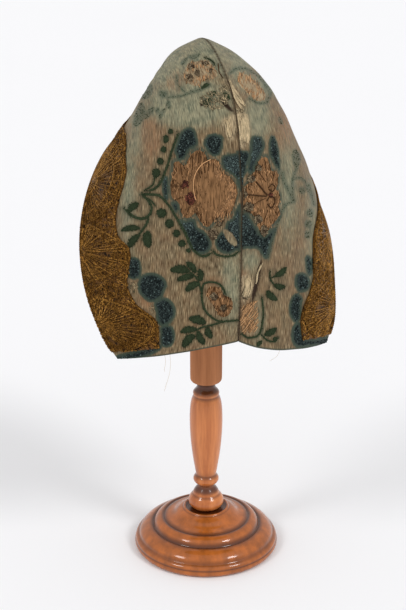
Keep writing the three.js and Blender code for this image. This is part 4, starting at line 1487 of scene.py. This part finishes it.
class BONNET_OT_flowers(bpy.types.Operator):
    """Brocades the brown flowers, with rays, stamens, speckled knots and gold glints"""
    bl_idname = "bonnet.flowers"
    bl_label = "Brocade the flowers"

    def execute(self, context):
        look = context.scene.bonnet_silk
        materials = [thread_material(thread, look) for _, thread in FLOWER_WORK]
        rng = np.random.default_rng(SEEDS["flowers"])
        for half in halves(context):
            bundles = [Bundle() for _ in FLOWER_WORK]
            petals, faded, rays, knots, specks, glints = bundles
            for patches, cushion in ((FLOWERS, FLOWER_CUSHION), (PLATES, PLATE_CUSHION)):
                for patch in patches[half.name]:
                    worked = faded if patch.pale else petals
                    self.work_petals(worked, glints, rays, half, patch, cushion, rng)
            for vine in RAYS[half.name]:
                shade = rng.uniform(0, 0.3) + (0.7 if vine.width < THIN_RAY else 0.0)
                self.lay_line(rays, half, vine.route, RAY_LIFT * MM, 0.36 * vine.width * MM, shade)
            for vine in PALE_RIMS[half.name]:
                self.lay_line(glints, half, vine.route, PALE_RIM_LIFT * MM, 0.4 * vine.width * MM, 0.9)
            lay_knots(knots, half, rng, STAMENS[half.name], 2.2, 0.34 * MM)
            lay_knots(specks, half, rng, SPECKLES[half.name], 3.2, 0.36 * MM)
            for (name, _), bundle, material in zip(FLOWER_WORK, bundles, materials):
                bundled(name + "_" + half.name, bundle, material, "silk")
        return {"FINISHED"}

    def lay_line(self, bundle, half, route, height, radius, shade):
        """One charted line as a thread over the petals."""
        u, q = half.find(smooth_route(route, 1.2))
        lay_tubes(bundle, half, u[None], q[None], height, radius, shade, 0.7, 4)

    def work_petals(self, petals, glints, rays, half, patch, cushion, rng):
        """One cushion inside its outline, with short bright gold threads, partly painted highlights, and
        dark flecks over it.
        """
        low, swell = cushion.low, cushion.swell
        disc = pattern(disc_pattern(12, 120))
        line = smooth_route(patch.outline, 0.5, closed=True)
        middle = np.array([patch.x, patch.y])
        bearing = np.arctan2(*(line - middle).T[::-1]) % (2 * np.pi)
        order = np.argsort(bearing)
        reach = np.linalg.norm(line - middle, axis=1)
        angle = np.arctan2(disc[0][:, 1], disc[0][:, 0]) % (2 * np.pi)
        share = np.linalg.norm(disc[0][:, :2], axis=1)
        radius = share * np.interp(angle, bearing[order], reach[order], period=2 * np.pi)
        pixels = middle + radius[:, None] * np.stack([np.cos(angle), np.sin(angle)], -1)
        pixels += (0.35 * ragged(pixels, 1.0) * share)[:, None]
        height = (low + swell * (1 - share ** 5) - 0.25 * (share > 0.99)) * MM
        petal_wave = 0.1 * np.sin(7 * angle + 3 * share) * share
        rim_shade = 0.25 * np.clip(share - 0.86, 0, 1)
        shade = np.clip(patch.tone + petal_wave + 0.1 * (low > 0) - rim_shade, 0, 1)
        lay_shape(petals, half, disc, pixels, height, shade)
        count = int(cushion.glints * reach.mean())
        near_edge = rng.uniform(0.2, 1.0, count) ** cushion.glint_edge
        rim = line[rng.integers(0, len(line), count)]
        # On the smooth petal all glints move to its right side: gold threads placed there as painted
        # highlights
        if low:
            rim = np.where((rim[:, :1] > middle[0]), rim, 2 * middle - rim)
        where = middle + 0.95 * near_edge[:, None] * (rim - middle)
        lay_bits(glints, half, where, rng.uniform(2.0, 6.0, count), rng.normal(0, 0.25, count),
                 (low + swell + 0.1) * MM, 0.24 * MM, rng.uniform(0, 1, count) ** 1.2)
        if patch.pale:
            return
        count = int(cushion.flecks * reach.mean())
        out = np.sqrt(rng.uniform(0.1, 0.85, count))[:, None]
        where = middle + out * (line[rng.integers(0, len(line), count)] - middle)
        lay_bits(rays, half, where, rng.uniform(1.5, 5.0, count), rng.normal(0, 0.2, count),
                 (low + swell) * MM, 0.22 * MM, rng.uniform(0.4, 1, count))


class BONNET_OT_frays(bpy.types.Operator):
    """Lays bared and frayed threads in the torn places, laid gold threads, and stitches on the seam"""
    bl_idname = "bonnet.frays"
    bl_label = "Fray the worn places"

    def execute(self, context):
        look = context.scene.bonnet_silk
        straw, laid, stitch = (thread_material(name, look)
                               for name in ("frayed_threads", "laid_threads", "seam_stitches"))
        rng = np.random.default_rng(SEEDS["frays"])
        left, right = halves(context)
        for half in (left, right):
            bundle = Bundle()
            for spot in FRAYS[half.name]:
                count = int(FRAY_CROWD * spot.across * spot.down)
                where, _ = scattered(rng, spot, count)
                shade = np.where(rng.uniform(size=count) < DARK_FRAYS, rng.uniform(0, 0.25, count),
                                 rng.uniform(0.4, 1, count))
                lay_bits(bundle, half, where, rng.uniform(1.0, 3.6, count), rng.normal(0.5, 0.6, count),
                         rng.uniform(0.2, 0.6, count) * MM, rng.uniform(0.2, 0.36, count) * MM, shade,
                         bow=rng.normal(0, 0.5, count))
            for vine in BARED[half.name]:
                self.lay_bared(bundle, half, vine, rng)
            bundled("frayed_threads_" + half.name, bundle, straw, "silk")
        bundle = Bundle()
        count = LAID_COUNT
        where = np.stack([rng.uniform(-1, 1, count) * LAID.across,
                          np.linspace(-1, 1, count) * LAID.down], -1) + (LAID.x, LAID.y)
        lay_bits(bundle, right, where, rng.uniform(5, 10, count), rng.normal(2.5, 0.12, count),
                 0.45 * MM, 0.42 * MM, rng.uniform(0, 0.9, count), 0.7, 4)
        bundled("laid_threads", bundle, laid, "silk")
        self.sew_seam(left, right, stitch, rng)
        return {"FINISHED"}

    def lay_bared(self, bundle, half, vine, rng):
        """Threads side by side along one line, each with its own ends."""
        line = smooth_route(vine.route, 1.0)
        aside = unit(np.gradient(line, axis=0))[:, ::-1] * (1, -1)
        count = int(4.5 * vine.width)
        steps = np.linspace(0, 1, 9)
        offset = column(rng.uniform(-0.5, 0.5, count) * vine.width)
        start, stop = rng.uniform(0, 0.22, count), rng.uniform(0.72, 1, count)
        share = column(start) + column(stop - start) * steps[None]
        at, places = share * (len(line) - 1), np.arange(len(line))
        path, turn = (np.stack([np.interp(at, places, row[:, k]) for k in (0, 1)], -1)
                      for row in (line, aside))
        path = path + (offset + 0.3 * np.sin(9 * share + offset))[..., None] * turn
        height = (0.2 + 0.5 * np.sin(np.pi * steps))[None] * MM
        shade = column(rng.uniform(0.5, 1, count))
        lay_paths(bundle, half, path, height, column(rng.uniform(0.26, 0.46, count)) * MM, shade)

    def sew_seam(self, left, right, material, rng):
        """Small slip stitches over the centre-back seam."""
        bundle = Bundle()
        along = np.arange(0.5 * STITCH_STEP, 0.97, STITCH_STEP)
        along = along + rng.uniform(-0.25 * STITCH_STEP, 0.25 * STITCH_STEP, len(along))
        lines = []
        for half, reach in ((left, (1.0, 0.45)), (right, (0.45, 1.0))):
            for across in reach:
                u = across * MM / np.interp(along, half.q_steps, half.rib_lengths)
                height = STITCH_END if across > 0.5 else STITCH_MIDDLE
                lines.append(half.lift(u, along, np.full(len(u), height * MM)))
        points, out = (np.stack(part, 1) for part in zip(*lines))
        ring, faces = tubes(points, unit(out), STITCH_RADIUS * MM, 1.0, 4)
        bundle.add(ring, faces, (0.0, 0.0), np.repeat(rng.uniform(0, 1, len(along)), 4 * len(lines)))
        bundled("seam_stitches", bundle, material, "silk")


def open_net(near):
    """How open the lace is between the middles and the rims of its fans."""
    return np.clip(1.3 - np.abs(near - 0.45) * 4, 0, 1)


class BONNET_OT_lace(bpy.types.Operator):
    """Works the gold lace: a dark net band, its tone partly tarnish and partly painted shade between the
    strands, looped strands, fans of rays, and corded borders
    """
    bl_idname = "bonnet.lace"
    bl_label = "Work the lace"

    def execute(self, context):
        look = context.scene.bonnet_lace
        backing = scaled(look.backing, 0.7), scaled(look.backing, 1.6)
        net = lace_material("lace_net", *backing, look.gap, 0.0, 0.3)
        gold = lace_material("lace_gold", scaled(look.tarnish, 0.7), look.gold, look.gap, 0.5, 0.0)
        rng = np.random.default_rng(SEEDS["lace"])
        for half in halves(context):
            name = "lace_net_" + half.name
            mesh, across, along, under = double_grid(name, *NET_FACES, 1, 0, half.side > 0)
            first = np.interp(LACE_START, half.q_steps, half.edge_runs) / MM
            last = half.edge_runs[-1] / MM
            run = first + along * (last - first)
            inward = across * half.lace_width(run)
            u, q = half.from_edge(inward, run)
            ripple = NET_RIPPLE * MM * np.sin(run * 1.9) * np.sin(across * 60)
            points, _ = half.lift(u, q, np.where(under, LACE_LIFT * MM, LACE_TOP * MM + ripple))
            settle(mesh, half, u, q, points)
            near, _ = self.fan_share(half, inward, run)
            # The net is painted darker where the fans open: painted shade between the rays
            set_shade(mesh, rng.uniform(0.2, 1, len(u)) * (1 - 0.8 * open_net(near)))
            band = piece(name, mesh, [net], "gold_lace", "lace_" + half.name)
            bundle = Bundle()
            self.work_loops(bundle, half, look, rng, first, last)
            self.work_fans(bundle, half, look, rng, first, last)
            self.work_borders(bundle, half, look, rng, first, last)
            strands = bundled("lace_strands_" + half.name, bundle, gold, "gold_lace")
            along = np.linspace(first, last, 200)
            widths = half.lace_width(along)
            strip_area(widths * MM, along * MM)
        return {"FINISHED"}

    def fan_share(self, half, inward, run):
        """Share of the nearest fan's reach at which each place lies, and the run of that fan's middle."""
        middles, reaches = np.array(FANS[half.name], float).T
        nearest = np.abs((run[:, None] - middles) / reaches).argmin(1)
        middle, reach = middles[nearest], reaches[nearest]
        return np.hypot(inward / half.lace_width(run), (run - middle) / reach), middle

    def work_loops(self, bundle, half, look, rng, first, last):
        """Small uneven open loops all over the band, fewer among the rays."""
        spacing = look.spacing / MM
        inward, run = np.meshgrid(np.arange(NET_RIM, WIDEST_LACE, spacing),
                                  np.arange(first + NET_RIM, last - NET_RIM, spacing))
        inward = inward.ravel() + rng.uniform(-0.6, 0.6, inward.size) * spacing
        run = run.ravel() + rng.uniform(-0.6, 0.6, run.size) * spacing
        keep = (inward > NET_RIM) & (inward < half.lace_width(run) - NET_RIM)
        keep &= (run > first + NET_RIM) & (run < last - NET_RIM)
        inward, run = inward[keep], run[keep]
        near, centre = self.fan_share(half, inward, run)
        keep = rng.uniform(size=len(run)) > 0.75 * open_net(near)
        inward, run, centre = inward[keep], run[keep], centre[keep]
        count = len(run)
        aim = column(np.arctan2(run - centre, inward + 6) + rng.normal(0, 0.7, count))
        turn = np.linspace(0, 1.7 * np.pi, 8)[None] + column(rng.uniform(0, 2 * np.pi, count))
        long, short = column(rng.uniform(1.2, 2.6, count)), column(rng.uniform(0.5, 1.2, count))
        x, y = long * np.cos(turn), short * np.sin(turn)
        a = column(inward) + x * np.cos(aim) - y * np.sin(aim)
        b = column(run) + x * np.sin(aim) + y * np.cos(aim)
        u, q = half.from_edge(np.clip(a, -0.3, None), np.clip(b, first, last))
        height = (LACE_TOP + 0.1 + 0.45 * column(rng.uniform(0, 1, count))
                  + 0.3 * np.sin(turn + column(rng.uniform(0, 6, count)))) * MM
        shade = (column(rng.beta(0.8, 1.5, count)) + LACE_PAINTED_LIGHT[half.name]).clip(0, 1)
        lay_tubes(bundle, half, u, q, height, look.strand * column(rng.uniform(0.75, 1.25, count)), shade)

    def work_fans(self, bundle, half, look, rng, first, last):
        """Fans of rays from middles on the front edge, crossed by arcs."""
        steps = np.linspace(0, 1, 10)
        for centre, span in FANS[half.name]:
            angle = np.linspace(-1.25, 1.25, look.rays) + rng.normal(0, 0.02, look.rays)
            wide = half.lace_width(np.clip(centre + span * np.sin(angle), first, last))
            out = 1 / np.hypot(np.cos(angle) / wide, np.sin(angle) / span) - 1.5
            reach = FAN_HUB + column(out - FAN_HUB) * steps[None]
            waver = rng.normal(0, 0.25, reach.shape)
            a = reach * column(np.cos(angle)) + waver
            b = centre + reach * column(np.sin(angle)) + waver[:, ::-1]
            keep = (b.min(1) > first) & (b.max(1) < last)
            if not keep.any():
                continue
            u, q = half.from_edge(np.clip(a[keep], FAN_RIM, None), b[keep])
            shade = (column(rng.uniform(0.3, 1.0, keep.sum())) + LACE_PAINTED_LIGHT[half.name]).clip(0, 1)
            height = (LACE_TOP + 0.75 + 0.2 * rng.uniform(-1, 1, u.shape)) * MM
            lay_tubes(bundle, half, u, q, height, look.strand * 1.05, shade)
            arc = np.linspace(-1.2, 1.2, 40)
            for share in ARC_SHARES:
                far = FAN_HUB + share * (np.interp(arc, angle, out) - FAN_HUB)
                for offset in (0.0, 1.1):
                    wave = np.sin(arc * 40 + 3 * offset)
                    a = (far + offset) * np.cos(arc) + 0.35 * wave
                    b = np.clip(centre + (far + offset) * np.sin(arc), first, last)
                    u, q = half.from_edge(np.clip(a, FAN_RIM, None)[None], b[None])
                    height = (LACE_TOP + 0.7 + 0.25 * wave)[None] * MM
                    lay_tubes(bundle, half, u, q, height, look.strand * 1.2, rng.uniform(0.2, 0.7))

    def work_borders(self, bundle, half, look, rng, first, last):
        """Twisted cords along both borders, and small picots past the front edge."""
        run = np.linspace(first, last, 620)
        for share, depth in ((0.0, 0.9), (1.0, -0.9), (0.0, 3.2)):
            for phase in (0, np.pi):
                twist = run * CORD_TWIST + phase
                waver = 0.5 * np.sin(twist) + 0.5 * share * np.sin(run * 0.83) * np.sin(run * 1.7)
                u, q = half.from_edge((share * half.lace_width(run) + depth + waver)[None], run[None])
                height = (LACE_TOP + 0.45 + 0.35 * np.cos(twist))[None] * MM
                shade = 0.35 + 0.25 * np.sin(run[None] * 0.9)
                lay_tubes(bundle, half, u, q, height, look.strand * 1.3, shade)
        middle = np.arange(first + 1.5, last - 1, 2.9)
        middle = column(middle + rng.uniform(-0.8, 0.8, len(middle)))
        turn = np.linspace(0, 2 * np.pi, PICOT_STEPS)[None]
        size = column(rng.uniform(0.6, 1.6, len(middle)))
        inward = 0.5 * size * np.cos(turn) - 0.1
        u, q = half.from_edge(np.clip(inward, 0, None), np.clip(middle + size * np.sin(turn), first, last))
        points, out = half.lift(u, q, np.full(u.shape, LACE_TOP * MM))
        edge = unit(half.point(np.ones_like(u), q) - half.point(np.full_like(u, 0.97), q))
        points = points + edge * (np.clip(-inward, 0, None) * 1.6 * MM)[..., None]
        points = points - out * (0.5 * size * MM)[..., None]
        ring, faces = tubes(points, out, look.strand * 1.1, 1.0, 3)
        bundle.add(ring, faces, np.repeat(half.cloth(u, q).reshape(-1, 2), 3, 0),
                   np.repeat(rng.uniform(0.1, 0.9, len(middle)), 3 * PICOT_STEPS))


class BONNET_OT_loose_threads(bpy.types.Operator):
    """Hangs the few loose threads at the hem"""
    bl_idname = "bonnet.loose_threads"
    bl_label = "Hang the loose threads"

    def execute(self, context):
        material = thread_material("loose_threads", context.scene.bonnet_silk)
        bundle = Bundle()
        share = np.linspace(0, 1, 16)
        for half in halves(context):
            for thread in LOOSE[half.name]:
                place = np.array(thread.u), np.array(LOOSE_START)
                start = half.point(*place) - half.normal(*place) * LOOSE_DEPTH * MM
                path = start + np.stack([thread.drift * share ** 2 + 1.2 * np.sin(5 * share),
                                         np.sin(7 * share) - share,
                                         1.5 - (thread.fall + 1.5) * share], -1) * MM
                aside = np.broadcast_to([0.3, -1.0, 0.1], path[None].shape)
                ring, faces = tubes(path[None], aside, LOOSE_RADIUS * MM, 1.0, 4)
                bundle.add(ring, faces, (0.0, 0.0), 0.6)
        bundled("loose_threads", bundle, material, "silk")
        return {"FINISHED"}


class BONNET_OT_stage(bpy.types.Operator):
    """Sets the pale floor, the soft lights and the photograph's camera"""
    bl_idname = "bonnet.stage"
    bl_label = "Set the stage"

    def execute(self, context):
        studio = context.scene.bonnet_studio
        eye = Eye(studio)
        material, nodes, shader = new_material("pale_floor")
        mottle = nodes.noise(object_vector(nodes), 3.0, 2.0, 0.5)
        nodes.fill(shader, {"Base Color": nodes.mix(mottle, scaled(studio.floor, 0.985), studio.floor),
                            "Roughness": 0.8, "Specular IOR Level": 0.1})
        shape = bmesh.new()
        bmesh.ops.create_grid(shape, x_segments=2, y_segments=2, size=FLOOR_REACH)
        mesh = mesh_of(shape, "floor")
        mesh.materials.append(material)
        floor = bpy.data.objects.new("floor", mesh)
        context.scene.collection.objects.link(floor)

        world = bpy.data.worlds.new("studio")
        world.use_nodes = True
        sky = world.node_tree.nodes["Background"].inputs
        sky["Color"].default_value = (1.0, 1.0, 1.0, 1.0)
        sky["Strength"].default_value = studio.sky
        context.scene.world = world
        level = np.array([-math.sin(studio.azimuth), math.cos(studio.azimuth), 0])
        for row in LAMPS:
            lamp = bpy.data.lights.new(row.name, "SUN")
            lamp.angle = studio.breadth
            lamp.energy = studio.key * row.share
            place = eye.right * row.aside + level * row.back + np.array([0, 0, row.up])
            self.put(context, row.name, lamp, place, -place)

        camera = bpy.data.cameras.new("photo_camera")
        camera.sensor_width = 36
        camera.lens = studio.focal * camera.sensor_width / PICTURE_HEIGHT
        camera.clip_end = 50
        context.scene.camera = self.put(context, "photo_camera", camera, eye.place, eye.view)
        context.scene.view_settings.view_transform = "Standard"
        return {"FINISHED"}

    def put(self, context, name, data, place, way):
        """Places a lamp or the camera, looking along a way."""
        made = bpy.data.objects.new(name, data)
        made.location = place
        made.rotation_euler = Vector(way).to_track_quat("-Z", "Y").to_euler()
        context.scene.collection.objects.link(made)
        return made


OPERATORS = (BONNET_OT_stage, BONNET_OT_stand, BONNET_OT_silk, BONNET_OT_sprigs, BONNET_OT_pile,
             BONNET_OT_flowers, BONNET_OT_frays, BONNET_OT_lace, BONNET_OT_loose_threads)
GROUPS = (("bonnet_studio", Studio), ("bonnet_stand", StandLook), ("bonnet_silk", SilkLook),
          ("bonnet_lace", LaceLook))


class BONNET_PT_sidebar(bpy.types.Panel):
    """Lists what makes the bonnet, with its sizes and colours"""
    bl_idname = "BONNET_PT_sidebar"
    bl_label = "Embroidered bonnet"
    bl_space_type = "VIEW_3D"
    bl_region_type = "UI"
    bl_category = "Bonnet"

    def draw(self, context):
        for operator in OPERATORS:
            self.layout.operator(operator.bl_idname)
        for name, group in GROUPS:
            box = self.layout.box()
            for prop in group.__annotations__:
                box.prop(getattr(context.scene, name), prop)


def register():
    for name, group in GROUPS:
        bpy.utils.register_class(group)
        setattr(bpy.types.Scene, name, PointerProperty(type=group))
    for made in OPERATORS + (BONNET_PT_sidebar,):
        bpy.utils.register_class(made)


def unregister():
    for made in (BONNET_PT_sidebar,) + OPERATORS[::-1]:
        bpy.utils.unregister_class(made)
    for name, group in GROUPS[::-1]:
        delattr(bpy.types.Scene, name)
        bpy.utils.unregister_class(group)


def main():
    register()
    bpy.ops.bonnet.stage()
    bpy.ops.bonnet.stand()
    bpy.ops.bonnet.silk()
    bpy.ops.bonnet.sprigs()
    bpy.ops.bonnet.pile()
    bpy.ops.bonnet.flowers()
    bpy.ops.bonnet.frays()
    bpy.ops.bonnet.lace()
    bpy.ops.bonnet.loose_threads()


if __name__ == "__main__":
    main()
